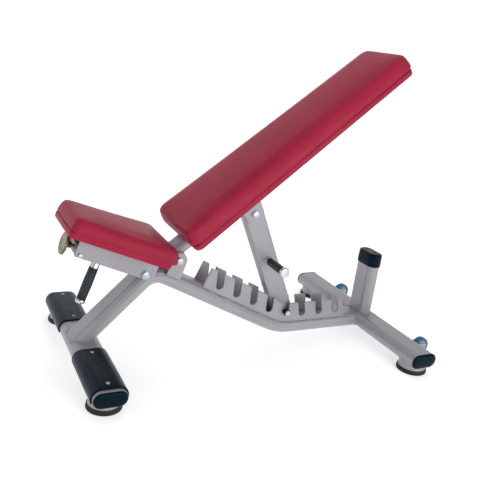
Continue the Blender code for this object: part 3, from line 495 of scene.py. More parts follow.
def sweep_into(shell, points, radii, closed, sides=8):
    """A round section along points, with a radius for each."""
    count = len(points)
    rings = []
    side = None
    for i, point in enumerate(points):
        before = points[i - 1] if (closed or i) else point
        after = points[(i + 1) % count] if (closed or i < count - 1) else point
        ahead = (after - before).normalized()
        side = ahead.orthogonal() if side is None else side - ahead * side.dot(ahead)
        side.normalize()
        other = ahead.cross(side)
        rings.append([shell.verts.new(point + (side * cos(2 * pi * k / sides)
                                               + other * sin(2 * pi * k / sides)) * radii[i])
                      for k in range(sides)])
    for low, high in zip(rings, rings[1:]):
        bridge(shell, low, high)
    if closed:
        shift = min(range(sides), key=lambda s: (rings[-1][0].co - rings[0][s].co).length)
        bridge(shell, rings[-1], rings[0], shift)
    else:
        shell.faces.new(rings[0])
        shell.faces.new(rings[-1])


def evenly(points, pitch, closed):
    """The same path with points at an even pitch."""
    path = points + ([points[0]] if closed else [])
    total = sum((b - a).length for a, b in zip(path, path[1:]))
    count = max(3, round(total / pitch))
    step = total / count
    made, gone, leg = [], 0.0, 0
    for i in range(count + (0 if closed else 1)):
        want = i * step
        while leg < len(path) - 2 and gone + (path[leg + 1] - path[leg]).length < want:
            gone += (path[leg + 1] - path[leg]).length
            leg += 1
        span = (path[leg + 1] - path[leg]).length
        made.append(path[leg].lerp(path[leg + 1], min(1.0, (want - gone) / max(span, 1e-9))))
    return made

# %% [markdown]
# Plates are cut from sheet, and a cutter leaves no perfectly sharp corner. eased copies a
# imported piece, welds its triangles back into flat faces, and rolls a small round along each
# hard edge, where the light will catch it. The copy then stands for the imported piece.

# %% Ease the edges of sheet and tube parts
WELD_GAP = 2e-6
NEARLY_FLAT = radians(1.5)
PLATE_EASE = 0.0012
SHEET_EASE = 0.0008


def eased(node, body, width):
    """A copy of a packed plate with a small round along its hard edges."""
    shell = bmesh.new()
    shell.from_mesh(frame["nodes"][node].data)
    bmesh.ops.remove_doubles(shell, verts=shell.verts, dist=WELD_GAP)
    bmesh.ops.dissolve_limit(shell, angle_limit=NEARLY_FLAT, verts=shell.verts,
                             edges=shell.edges)
    obj = settle(node + "_eased", shell, body, slot_of[node], sharp=radians(50),
                 stands_for=(node,))
    rounding = obj.modifiers.new("round", "BEVEL")
    rounding.width = width
    rounding.segments = 2
    rounding.limit_method = "ANGLE"
    rounding.angle_limit = radians(38)
    rounding.miter_outer = "MITER_ARC"
    flat = obj.modifiers.new("keep_flat", "WEIGHTED_NORMAL")
    flat.keep_sharp = True


for word in ("near", "far"):
    eased("ladder_plate_" + word, "frame", PLATE_EASE)
    eased("hinge_bracket_" + word, "frame", PLATE_EASE)
    eased("prop_ear_" + word, "back", PLATE_EASE)
    eased("wheel_bracket_" + word, "frame", SHEET_EASE)
eased("seat_rail", "seat", PLATE_EASE)
eased("latch_guide", "seat", SHEET_EASE)
eased("lock_sector", "frame", SHEET_EASE)
print("plates eased")

# %% [markdown]
# The joints between tubes are welded. A weld bead is a row of small overlapping puddles, so it
# can be swept as a tube whose radius ripples every few millimetres. Its path is found by
# shooting rays along one tube's outline until they meet the other tube.

# %% Weld beads
PUDDLE = 0.0042


def surface(*nodes):
    """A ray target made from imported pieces."""
    verts, faces = [], []
    for node in nodes:
        mesh = frame["nodes"][node].data
        start = len(verts)
        verts += [v.co.copy() for v in mesh.vertices]
        faces += [[start + i for i in face.vertices] for face in mesh.polygons]
    return BVHTree.FromPolygons(verts, faces)


def bead(name, points, body="frame", radius=0.0034, closed=True):
    """A rippled weld bead along points."""
    path = evenly(points, PUDDLE / 4, closed)
    radii = [radius * (0.80 + 0.20 * abs(cos(pi * i / 4))) for i in range(len(path))]
    shell = bmesh.new()
    sweep_into(shell, path, radii, closed)
    settle(name, shell, body, "frame_paint", sharp=ROUND_WORK)


def shot(target, starts, heading):
    """Where rays from these starts meet the target."""
    hits = (target.ray_cast(start, heading)[0] for start in starts)
    return [hit for hit in hits if hit is not None]

# %% [markdown]
# The frame tube meets both base tubes, the stub post stands on the rear one, and each foot's neck
# is welded under its tube. A ring of rays along the tube's own outline finds each joint's line.

# %% Welds on the frame
TUBE_WIDE = 0.100
TUBE_TALL = 0.050
front_base = surface("front_base_tube")
rear_base = surface("rear_base_tube")
frame_tube = surface("main_frame_tube")

CROWN = Vector((FRONT_X + 0.205, 0, 0.29411))
NECK_WELD = 0.0447
leg_plane = plane(CROWN, LEG_ANGLE)
leg_ring = [leg_plane @ Vector((-0.20, a, b)) for a, b in obround(TUBE_WIDE, TUBE_TALL)]
bead("weld_leg", shot(front_base, leg_ring, leg_plane.to_3x3() @ Vector((-1, 0, 0))))

level_ring = [Vector((REAR_X - 0.15, a, BASE_Z + b)) for a, b in obround(TUBE_WIDE, TUBE_TALL)]
bead("weld_rear", shot(rear_base, level_ring, Vector((1, 0, 0))))

stub_ring = [Vector((REAR_X + b, a, 0.2)) for a, b in obround(TUBE_WIDE, TUBE_TALL)]
bead("weld_stub", shot(rear_base, stub_ring, Vector((0, 0, -1))))

for word in ("near", "far"):
    for end, target in (("front", front_base), ("rear", rear_base)):
        low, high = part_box(f"{end}_foot_neck_{word}")
        centre = (low + high) / 2
        ring = [Vector((x, y, 0.012))
                for x, y in arc(centre.x, centre.y, NECK_WELD, 0, 2 * pi, 40)]
        bead(f"weld_foot_{end}_{word}", shot(target, ring[:-1], Vector((0, 0, 1))), radius=0.003)
print("tube welds laid")

# %% [markdown]
# Long plates are stitch welded: a short run, a gap, a short run, so the heat doesn't bow the
# plate. The ladder plates show such runs along their outer feet, and the hinge brackets have
# one along each lower edge.

# %% Stitch welds on the ladder and the brackets
ladder_low, ladder_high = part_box("ladder_plate_near")
OUTER_FACE = -ladder_low.y
RUN_LONG = 0.024
RUN_PITCH = 0.068
LADDER_MARGIN = 0.020
first_run = ladder_low.x + LADDER_MARGIN
for word, side in SIDES:
    count = int((ladder_high.x - first_run - LADDER_MARGIN) / RUN_PITCH) + 1
    for i in range(count):
        x0 = first_run + i * RUN_PITCH
        tops = [Vector((x0 + RUN_LONG * k / 6, side * (OUTER_FACE + 0.001), 0.5))
                for k in range(7)]
        bead(f"weld_ladder_{word}_{i + 1}", shot(frame_tube, tops, Vector((0, 0, -1))),
             radius=0.0026, closed=False)
    low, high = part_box("hinge_bracket_" + word)
    y = side * (TUBE_WIDE / 2 + 0.0012)
    heel = Vector((low.x + 0.002, y, low.z + 0.021))
    toe = Vector((hinge_at["back_recline"].x + 0.006, y, low.z + 0.002))
    bead("weld_bracket_" + word, [heel.lerp(toe, k / 8) for k in range(9)], radius=0.0028,
         closed=False)
print(2 * count, "stitch welds along the ladder plates")

# %% [markdown]
# Under the back, the spine tube is welded to the hinge hub, and the two ears that hold the prop
# are welded to the spine. The ears' beads are straight runs; the hub's follows the tube.

# %% Welds under the back: hub to spine and ears to spine
SPINE_MID = 0.0157
SPINE_TALL = 0.036
SPINE_WIDE = 0.080
EAR_OUT = 0.027
PIVOT_ALONG = 0.2925
EAR_WELD = 0.068
for word, side in SIDES:
    run = [back_plane @ Vector((PIVOT_ALONG - EAR_WELD / 2 + EAR_WELD * k / 8,
                                side * (EAR_OUT + 0.0004), SPINE_MID - 0.0172))
           for k in range(9)]
    bead("weld_ear_" + word, run, "back", 0.0028, closed=False)
hub = surface("hinge_hub")
spine_ring = [back_plane @ Vector((0.1, a, SPINE_MID + b))
              for a, b in obround(SPINE_WIDE, SPINE_TALL)]
hub_run = shot(hub, spine_ring, back_plane.to_3x3() @ Vector((-1, 0, 0)))
print("hub weld points", len(hub_run))
bead("weld_hub", hub_run, "back", 0.003, closed=False)

# %% [markdown]
# Bolts are hexagon heads with a chamfer turned on top, a washer under the head, and at the far
# end a nut with a little thread showing. The head is a six-sided prism whose top ring is drawn
# in towards a circle, which is what the chamfer does.

# %% Hexagon bolts
HEX_STEPS = 24
CHAMFER_FACE = 0.43
WASHER = 0.0016


def hex_head_into(shell, at, across, tall):
    """Chamfered hexagon from 0 to tall along its axis."""
    angles = [2 * pi * i / HEX_STEPS for i in range(HEX_STEPS)]

    def ring(height, pull):
        """The hexagon at one height, pulled in towards a circle."""
        made = []
        for a in angles:
            fold = (a + pi / 6) % (pi / 3) - pi / 6
            reach = across / 2 / cos(fold)
            reach += (min(reach, across / 2) - reach) * pull
            made.append(shell.verts.new(at @ Vector((reach * cos(a), reach * sin(a), height))))
        return made

    inner = [shell.verts.new(at @ Vector((across * CHAMFER_FACE * cos(a),
                                          across * CHAMFER_FACE * sin(a), tall)))
             for a in angles]
    rings = [ring(0.0, 0.25), ring(tall * 0.06, 0.0), ring(tall * 0.80, 0.0),
             ring(tall * 0.94, 0.75), inner]
    for low, high in zip(rings, rings[1:]):
        bridge(shell, low, high)
    shell.faces.new(rings[0])
    shell.faces.new(rings[-1])


def hex_bolt(node, body, centre, half, shank, across):
    """Head towards -Y, nut towards +Y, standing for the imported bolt."""
    shell = bmesh.new()
    for side in (-1, 1):
        at = aim(centre + Vector((0, side * (half + 0.0002), 0)), (0, side, 0))
        turn_into(shell, [(0, 0), (across * 0.62, 0), (across * 0.64, WASHER * 0.4),
                          (across * 0.62, WASHER), (0, WASHER)], at, 32)
        tall = across * (0.36 if side < 0 else 0.42)
        hex_head_into(shell, at @ Matrix.Translation((0, 0, WASHER + 0.0002)), across, tall)
        if side > 0:
            end = WASHER + tall
            thread = [(0, end - 0.002)]
            for k in range(3):
                thread += [(shank * 0.86, end + 0.0010 * k), (shank, end + 0.0010 * k + 0.0005)]
            thread += [(shank * 0.8, end + 0.0032), (0, end + 0.0034)]
            turn_into(shell, thread, at, 24)
    turn_into(shell, [(0, -half), (shank, -half), (shank, half), (0, half)],
              aim(centre, (0, 1, 0)), 24)
    settle(node + "_hex", shell, body, "zinc", stands_for=(node,))

# %% [markdown]
# Four bolts of this kind show: the back's hinge, the seat's pivot, the prop's pivot and the small
# one through the latch guide.

# %% Fit the bolts
PIVOT_SHANK = 0.008
hex_bolt("hinge_bolt", "frame", hinge_at["back_recline"], 0.057, PIVOT_SHANK, 0.019)
hex_bolt("seat_bolt", "frame", hinge_at["seat_tilt"], 0.055, PIVOT_SHANK, 0.022)
hex_bolt("prop_bolt", "back", hinge_at["prop_swing"], EAR_OUT, PIVOT_SHANK, 0.020)
guide_spot = seat_plane @ Vector((-0.215, 0, 0.0038))
hex_bolt("guide_bolt", "seat", guide_spot, 0.055, 0.003, 0.012)
print("bolts in")

# %% [markdown]
# The front tube's ends are closed by push-in plugs. A plug's flange covers most of the tube's
# painted rim, which shows as a thin line round it, and its face swells into a dome. Layers of
# one flat-oval outline, each drawn in a little further as it stands out, give that dome.

# %% End caps
DOME = ((0.0030, -0.020), (0.0030, 0.0002), (0.0002, 0.0003), (0.0, 0.0012), (0.0004, 0.0028),
        (0.0016, 0.0046), (0.0036, 0.0060), (0.0062, 0.0070), (0.0100, 0.0077),
        (0.0145, 0.0081), (0.0190, 0.0083))


def facing(x, y, side):
    """Outline drawn in X and Z, height growing out of the tube's end."""
    return Matrix(((1, 0, 0, x), (0, 0, side, y), (0, 1, 0, BASE_Z), (0, 0, 0, 1)))


def tube_outline(trim):
    """The tube's flat oval, trimmed, at any further inset."""
    return lambda inset: obround(TUBE_WIDE - 2 * (trim + inset), TUBE_TALL - 2 * (trim + inset))


for word, side in SIDES:
    layers("front_plug_" + word, tube_outline(0.0012), DOME,
           facing(FRONT_X, side * front_high.y, side), "frame", "black_plastic",
           stands_for=("front_end_cap_" + word,))

print("front plugs in")

# %% [markdown]
# The rear tube wears larger caps that cover the whole end of the tube, rim and all, with a
# rounded shoulder. The same layers work, starting from a flange a hair wider than the tube.

# %% Rear caps
CAP_SHELL = ((0.0, 0.0004), (-0.0009, 0.0012), (-0.0010, 0.0032), (-0.0002, 0.0050),
             (0.0020, 0.0068), (0.0052, 0.0082), (0.0095, 0.0092), (0.0150, 0.0098),
             (0.0200, 0.0100))
PLUG = ((0.0036, -0.020), (0.0036, 0.0004))
for word, side in SIDES:
    layers("rear_cap_" + word, tube_outline(0.0), PLUG + CAP_SHELL,
           facing(REAR_X, side * rear_high.y, side), "frame", "black_plastic",
           stands_for=("rear_end_cap_" + word,))
print("end caps on")

# %% [markdown]
# Two moulded jackets clip over the front tube where feet rest. Each wraps the top and both
# round sides, is open underneath, and has rounded corners. It is drawn as a sheet: one
# direction goes round the tube, the other along it, and the sheet gets shorter near its two
# lower edges, which rounds the corners. Then it is given its thickness and a rolled rim.

# %% Foot jackets
JACKET_WALL = 0.004
JACKET_WRAP = radians(42)
CORNER = 0.016


def jacket(word, side):
    """One foot jacket, clipped over the front tube."""
    low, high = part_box("foot_cover_" + word)
    ends = sorted((abs(low.y), abs(high.y)))
    radius = TUBE_TALL / 2 + 0.0004
    reach = TUBE_WIDE / 2 - TUBE_TALL / 2
    round_part = radius * (pi / 2 + JACKET_WRAP)
    total = 2 * round_part + 2 * reach
    around, along = 56, 40

    def spot(s, out):
        """Point at arc length s round the jacket, out from the tube's skin."""
        r = radius + out
        if s < round_part:
            a = pi + JACKET_WRAP - s / radius
            return -reach + r * cos(a), r * sin(a)
        if s < round_part + 2 * reach:
            return -reach + (s - round_part), r
        a = pi / 2 - (s - round_part - 2 * reach) / radius
        return reach + r * cos(a), r * sin(a)

    shell = bmesh.new()
    grid = []
    for i in range(around + 1):
        ease = 0.5 - 0.5 * cos(pi * i / around)
        s = total * (0.35 * ease + 0.65 * i / around)
        from_edge = min(s, total - s)
        trim = 0.0
        if from_edge < CORNER:
            trim = CORNER - sqrt(max(0.0, CORNER ** 2 - (CORNER - from_edge) ** 2))
        row = []
        for j in range(along + 1):
            t = j / along
            y = ends[0] + trim + (ends[1] - ends[0] - 2 * trim) * t
            crown = 0.0012 * sin(pi * t) ** 0.5 * sin(pi * s / total)
            x, z = spot(s, JACKET_WALL + crown)
            row.append(shell.verts.new((FRONT_X + x, side * y, BASE_Z + z)))
        grid.append(row)
    for a, b in zip(grid, grid[1:]):
        for j in range(along):
            shell.faces.new((a[j], b[j], b[j + 1], a[j + 1]))
    obj = settle("foot_jacket_" + word, shell, "frame", "black_plastic",
                 sharp=RIM_WORK, stands_for=("foot_cover_" + word,))
    thick = obj.modifiers.new("wall", "SOLIDIFY")
    thick.thickness = JACKET_WALL
    outward = sum((face.normal.z * face.center.z for face in obj.data.polygons), 0.0)
    thick.offset = -1.0 if outward > 0 else 1.0
    rim = obj.modifiers.new("rim", "BEVEL")
    rim.width = 0.0016
    rim.segments = 3
    rim.limit_method = "ANGLE"
    rim.angle_limit = RIM_WORK


for word, side in SIDES:
    jacket(word, side)
print("foot jackets clipped on")

# %% [markdown]
# Button-head screws hold the jackets. A button head is a dome with a hexagon socket sunk in it; here the profile
# dips at the middle to make the socket's wall, turned round rather than six-sided.

# %% Button screws
for word in ("near", "far"):
    for end in ("inner", "outer"):
        node = f"cover_screw_{word}_{end}"
        low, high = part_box(node)
        centre = (low + high) / 2
        at = Matrix.Translation((centre.x, centre.y, high.z - 0.0016))
        shell = bmesh.new()
        turn_into(shell, [(0, -0.0072), (0.0024, -0.0070), (0.0024, -0.0008), (0.0052, -0.0008),
                          (0.0056, 0.0002), (0.0052, 0.0012), (0.0040, 0.0022), (0.0026, 0.0027),
                          (0.0020, 0.0027), (0.0019, 0.0010), (0, 0.0008)], at, 24)
        settle("button_" + node, shell, "frame", "zinc", stands_for=(node,))
print("screws in")

# %% [markdown]
# Under each neck is a rubber ring: a broad disc with a rounded lip, a groove half way up where
# the mould closed, and a hollow underneath that grips the floor.

# %% Rubber feet
for end in ("front", "rear"):
    for word in ("near", "far"):
        node = f"{end}_foot_pad_{word}"
        low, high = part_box(node)
        centre = (low + high) / 2
        r = (high.x - low.x) / 2
        tall = high.z - low.z
        turn("foot_ring_" + node, [(0, 0.0030), (r - 0.016, 0.0030), (r - 0.013, 0.0002),
                                   (r - 0.003, 0.0), (r - 0.0008, 0.0012), (r, 0.0034),
                                   (r - 0.0003, 0.0066), (r - 0.0016, 0.0072), (r - 0.0016, 0.0082),
                                   (r - 0.0006, 0.0090), (r - 0.0014, 0.0126), (r - 0.0036, tall),
                                   (0, tall)],
             Matrix.Translation((centre.x, centre.y, low.z)), "frame",
             "black_rubber", steps=56, stands_for=(node,))
print("feet on")

# %% [markdown]
# Hand grips are rubber sleeves slid over a steel core and trapped between bright ends. The
# sleeve swells slightly at its middle and has a few fine rings near each end. All of them are
# lathe work, so each is one profile.

# %% Grip sleeves


def sleeve_profile(inner, outer, low, high, rings=3):
    """A grip's section: fine rings near both ends and a slight swell between."""
    long = high - low
    points = [(inner, low), (outer - 0.0012, low), (outer - 0.0002, low + 0.0010)]
    for k in range(rings):
        z = low + 0.005 + 0.0032 * k
        points += [(outer, z), (outer - 0.0007, z + 0.0008), (outer, z + 0.0016)]
    points += [(outer + 0.0006, low + long * 0.35), (outer + 0.0009, low + long * 0.5),
               (outer + 0.0006, low + long * 0.65)]
    for k in reversed(range(rings)):
        z = high - 0.005 - 0.0032 * k
        points += [(outer, z - 0.0016), (outer - 0.0007, z - 0.0008), (outer, z)]
    points += [(outer - 0.0002, high - 0.0010), (outer - 0.0012, high), (inner, high)]
    return points

# %% [markdown]
# The peg on the prop is the handle that lifts the lock bar out of its slot: a flange against the
# prop, a rubber sleeve, and a bright end cap with a rounded rim.

# %% Peg on the prop
PEG_DOWN = 0.186
PEG_ROOT = 0.0203
peg_at = aim(prop_plane @ Vector((PEG_DOWN, -PEG_ROOT, 0)), (0, -1, 0))
turn("peg_chrome", [(0, 0), (0.0150, 0), (0.0152, 0.0012), (0.0146, 0.0028), (0.0138, 0.0034),
                    (0.0138, 0.0098), (0.0130, 0.0106), (0.0095, 0.0108), (0.0095, 0.1066),
                    (0.0160, 0.1068), (0.0170, 0.1080), (0.0172, 0.1130), (0.0166, 0.1158),
                    (0.0148, 0.1174), (0.0110, 0.1182), (0, 0.1186)],
     peg_at, "prop", "chrome", stands_for=("peg_core",))
turn("peg_sleeve", sleeve_profile(0.0096, 0.0136, 0.0110, 0.1066), peg_at, "prop",
     "black_rubber", grip_rubber, stands_for=("peg_grip",))

print("peg turned")

# %% [markdown]
# The grip under the seat's nose hangs square to the seat. It is the same kind of sleeve on a
# longer core, with a collar above it.

# %% Front grip
GRIP_AHEAD = 0.142
GRIP_ROOT = 0.0025
GRIP_END = 0.155
grip_at = aim(seat_plane @ Vector((-GRIP_AHEAD, 0, -GRIP_ROOT)),
              seat_plane.to_3x3() @ Vector((0, 0, -1)))
grip_long = GRIP_END - GRIP_ROOT
turn("grip_chrome", [(0, 0), (0.0143, 0), (0.0143, 0.0280), (0.0149, 0.0290), (0.0149, 0.0310),
                     (0.0140, 0.0318), (0.0102, 0.0320), (0.0102, grip_long - 0.0122),
                     (0.0146, grip_long - 0.0120), (0.0152, grip_long - 0.0108),
                     (0.0152, grip_long - 0.0036), (0.0144, grip_long - 0.0012),
                     (0.0122, grip_long), (0, grip_long + 0.0006)],
     grip_at, "seat", "chrome", stands_for=("grip_core",))
turn("grip_rubber", sleeve_profile(0.0103, 0.0146, 0.0322, grip_long - 0.0124), grip_at,
     "seat", "black_rubber", grip_rubber, stands_for=("grip_sleeve",))

print("front grip turned,", round(grip_long, 4), "long")

# %% [markdown]
# The lock bar is a bright round bar with upset ends, and a nylon bush next to each end keeps it
# from rattling in the ladder's slots.

# %% Lock bar and bushes
bar_low, bar_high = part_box("lock_bar")
bar_mid = (bar_low + bar_high) / 2
half_bar = bar_high.y
BAR = 0.009
ends = [(0.0050, half_bar), (0.0078, half_bar - 0.0006), (0.0096, half_bar - 0.0024),
        (0.0101, half_bar - 0.0046), (0.0101, half_bar - 0.0070), (BAR, half_bar - 0.0072)]
turn("lock_bar_turned", [(0, half_bar)] + ends + [(r, -h) for r, h in reversed(ends)]
     + [(0, -half_bar)], aim(bar_mid, (0, 1, 0)), "prop", "chrome",
     stands_for=("lock_bar",))
for word in ("near", "far"):
    low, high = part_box("bar_bush_" + word)
    long = high.y - low.y
    r = (high.z - low.z) / 2
    turn("bush_turned_" + word, [(BAR + 0.0002, 0), (r - 0.0016, 0), (r - 0.0003, 0.0010),
                                 (r, 0.0024), (r, long - 0.0024), (r - 0.0003, long - 0.0010),
                                 (r - 0.0016, long), (BAR + 0.0002, long)],
         aim(Vector((bar_mid.x, low.y, bar_mid.z)), (0, 1, 0)), "prop",
         "black_plastic", stands_for=("bar_bush_" + word,))
print("lock bar and bushes turned")

# %% [markdown]
# The seat's latch is a spring-loaded rod with a finger plate. The plate is a disc with a broad
# rounded rim and a shallow dish, and its rod swells where the two are joined. The spring is a
# helix swept with a round wire, closed up at both ends so that it stands square.

# %% Seat latch
LATCH_UP = 0.013
REACH = 0.261
latch_at = seat_plane @ aim(Vector((-REACH, 0, LATCH_UP)), (1, 0, 0))
TIP = REACH - 0.0745
COLLAR = REACH - 0.0886
turn("latch_plate_turned", [(0, 0.0022), (0.012, 0.0018), (0.022, 0.0008), (0.0290, 0.0),
                            (0.0335, 0.0006), (0.0354, 0.0022), (0.0361, 0.0046),
                            (0.0354, 0.0070), (0.0330, 0.0084), (0.0280, 0.0086),
                            (0.0190, 0.0098), (0.0140, 0.0128), (0.0110, 0.0170),
                            (0.0100, 0.0210), (0.0100, 0.0250), (0.0080, 0.0268),
                            (0.0055, 0.0274), (0.0055, COLLAR), (0.0095, COLLAR + 0.0004),
                            (0.0098, COLLAR + 0.0012), (0.0098, COLLAR + 0.0050),
                            (0.0090, COLLAR + 0.0058), (0.0055, COLLAR + 0.0060),
                            (0.0055, TIP - 0.003), (0.0036, TIP), (0, TIP)],
     latch_at, "latch", "yellow_zinc", stands_for=("latch_rod",))
print("latch rod turned")

# %% [markdown]
# The spring sits between the rod's collar and the guide. Its pitch closes up towards the ends.

# %% Latch spring
COILS = 9
COIL_START = REACH - 0.1185
COIL_END = REACH - 0.0900
COIL_STEPS = COILS * 18
COIL_ROUND = 0.0078
WIRE = 0.0009
helix = []
for i in range(COIL_STEPS + 1):
    t = i / COIL_STEPS
    rise = COIL_START + (COIL_END - COIL_START) * (t - 0.10 * sin(2 * pi * t) / (2 * pi))
    a = 2 * pi * COILS * t
    helix.append(latch_at @ Vector((COIL_ROUND * cos(a), COIL_ROUND * sin(a), rise)))
shell = bmesh.new()
sweep_into(shell, helix, [WIRE] * len(helix), False)
settle("latch_coil", shell, "latch", "zinc", stands_for=("latch_spring",))
print("spring with", COILS, "coils")

# %% [markdown]
# The stub post wears a deep black cap. It is the same stack of flat ovals, standing on end: a
# skirt, a soft shoulder and an almost flat top with two small plugs in it.

# %% Stub cap
cap_low, cap_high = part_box("stub_cap")
CAP_TALL = cap_high.z - cap_low.z
cap_wide = cap_high.y - cap_low.y
cap_deep = cap_high.x - cap_low.x
cap_at = Matrix(((0, 1, 0, REAR_X), (1, 0, 0, 0), (0, 0, 1, cap_low.z), (0, 0, 0, 1)))
layers("stub_cap_moulded", lambda inset: obround(cap_wide - 2 * inset, cap_deep - 2 * inset, 18),
       [(0.0030, 0.0006), (0.0016, 0.0), (0.0004, 0.0006), (0.0, 0.0020), (0.0002, 0.020),
        (0.0008, CAP_TALL - 0.0090), (0.0014, CAP_TALL - 0.0055), (0.0030, CAP_TALL - 0.0026),
        (0.0056, CAP_TALL - 0.0010), (0.0090, CAP_TALL - 0.0003), (0.0150, CAP_TALL)],
       cap_at, "frame", "black_plastic", stands_for=("stub_cap",))
for i, y in enumerate((-0.022, 0.022)):
    turn(f"stub_plug_{i + 1}", [(0, -0.001), (0.0042, -0.001), (0.0044, 0.0006),
                                (0.0036, 0.0012), (0.0024, 0.0004), (0, 0.0002)],
         Matrix.Translation((REAR_X, y, cap_high.z)), "frame", "black_plastic",
         black_rubber, steps=24)
print("stub cap on")

# %% [markdown]
# Transport wheels: a blue moulded tread with a shallow groove on each side of its crown, and a
# pale hub with a dished face. They only touch the floor when the bench is tipped back.

# %% Wheels
for word in ("near", "far"):
    low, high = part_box("wheel_tyre_" + word)
    centre = (low + high) / 2
    r = (high.z - low.z) / 2
    w = high.y - low.y
    bore = 0.62 * r + 0.0004
    at = aim(Vector((centre.x, low.y, centre.z)), (0, 1, 0))
    half = [(bore, 0.0006), (r - 0.0052, 0.0), (r - 0.0030, 0.0006), (r - 0.0010, 0.0026),
            (r - 0.0002, 0.0050), (r - 0.0012, 0.0056), (r - 0.0012, 0.0066), (r, 0.0072)]
    turn("wheel_tread_" + word, half + [(rr, w - hh) for rr, hh in reversed(half)], at,
         "wheel_" + word, "wheel_blue", steps=48, stands_for=("wheel_tyre_" + word,))
    axle = 0.0053
    rim = bore - 0.0007
    face = [(axle, 0.0012), (0.0085, 0.0010), (0.0092, 0.0040), (rim - 0.0038, 0.0046),
            (rim - 0.0024, 0.0014), (rim, 0.0012)]
    turn("wheel_centre_" + word, face + [(rr, w - hh) for rr, hh in reversed(face)], at,
         "wheel_" + word, "wheel_hub", stands_for=("wheel_hub_" + word,))
print("wheels turned")

# %% [markdown]
# Now the upholstery. Foam sits on a plywood board and the vinyl is pulled over it and stapled
# underneath, so the cushion swells most where nothing holds it down. The pad starts as a stack
# of plan outlines, is remeshed into even little squares, and is inflated with cloth simulation
# while its underside stays pinned to the board. A cap on each point's travel keeps its size.

# %% Pad outlines


def plan_of(start, length, first, last, corner, steps=10):
    """Plan outline of a pad at an inset: wide first at its start and last at its end."""

    def outline(inset):
        """The corners rounded, everything drawn in by the inset."""
        x0, x1 = start + inset, start + length - inset
        wide = (last - first) / length
        y0 = (first + wide * inset) / 2 - inset
        y1 = (last - wide * inset) / 2 - inset
        r = max(corner - inset * 0.5, 0.006)
        corners = ((x0, -y0), (x1, -y1), (x1, y1), (x0, y0))
        points = []
        for i, (x, y) in enumerate(corners):
            spot = Vector((x, y))
            before = (Vector(corners[i - 1]) - spot).normalized()
            after = (Vector(corners[(i + 1) % 4]) - spot).normalized()
            inner = before.angle(after)
            centre = spot + (before + after).normalized() * (r / sin(inner / 2))
            start_at = spot + before * (r / tan(inner / 2)) - centre
            begin = atan2(start_at.y, start_at.x)
            points += arc(centre.x, centre.y, r, begin, begin + pi - inner, steps)
        return points

    return outline


back_plan = plan_of(0.048, 0.939, 0.299, 0.240, 0.030)
seat_plan = plan_of(-0.285, 0.334, 0.228, 0.308, 0.022)
back_board_plan = plan_of(0.050, 0.932, 0.297, 0.240, 0.024)
seat_board_plan = plan_of(-0.287, 0.323, 0.226, 0.304, 0.020)
BOARD = 0.012
BACK_BOARD_LOW = 0.034
SEAT_BOARD_LOW = 0.0625
print("outlines drawn")

# %% [markdown]
# Inflating is the one step that needs time to pass. The cloth is stiff, as vinyl over foam is, so
# it swells without wrinkles, and gravity is off because the board carries the pad.

# %% Inflate a pad
CLOTH_FRAMES = 14


def inflate(obj, pinned_below, travel, pressure):
    """Cloth pressure on the pad, with its base held, then the travel of each point capped."""
    held = obj.vertex_groups.new(name="held")
    held.add([v.index for v in obj.data.vertices if v.co.z < pinned_below], 1.0, "REPLACE")
    cloth = obj.modifiers.new("air", "CLOTH")
    setting = cloth.settings
    setting.quality = 5
    setting.mass = 0.3
    setting.tension_stiffness = 80
    setting.compression_stiffness = 80
    setting.shear_stiffness = 40
    setting.bending_stiffness = 12.0
    setting.use_pressure = True
    setting.uniform_pressure_force = pressure
    setting.vertex_group_mass = "held"
    setting.effector_weights.gravity = 0.0
    cloth.collision_settings.use_collision = False
    scene = bpy.context.scene
    for frame_number in range(1, CLOTH_FRAMES + 1):
        scene.frame_set(frame_number)
    swollen = obj.evaluated_get(bpy.context.evaluated_depsgraph_get())
    moved = [v.co.copy() for v in swollen.to_mesh().vertices]
    swollen.to_mesh_clear()
    obj.modifiers.remove(cloth)
    longest = 0.0
    for vertex, there in zip(obj.data.vertices, moved):
        shift = there - vertex.co
        if shift.length > travel:
            shift = shift.normalized() * travel
        longest = max(longest, shift.length)
        vertex.co += shift
    scene.frame_set(1)
    return longest

# %% [markdown]
# The pad itself: stack the outlines, remesh, smooth, inflate, smooth again and subdivide once.
# Then the seams are pressed in as shallow grooves, because the remesh would have erased them.

# %% Make a pad
VOXEL = 0.006


def applied(obj, kind, **settings):
    """Add a modifier, keep its result in the mesh."""
    modifier = obj.modifiers.new(kind.lower(), kind)
    for key, value in settings.items():
        setattr(modifier, key, value)
    result = bpy.data.meshes.new_from_object(
        obj.evaluated_get(bpy.context.evaluated_depsgraph_get()))
    obj.modifiers.clear()
    obj.data = result


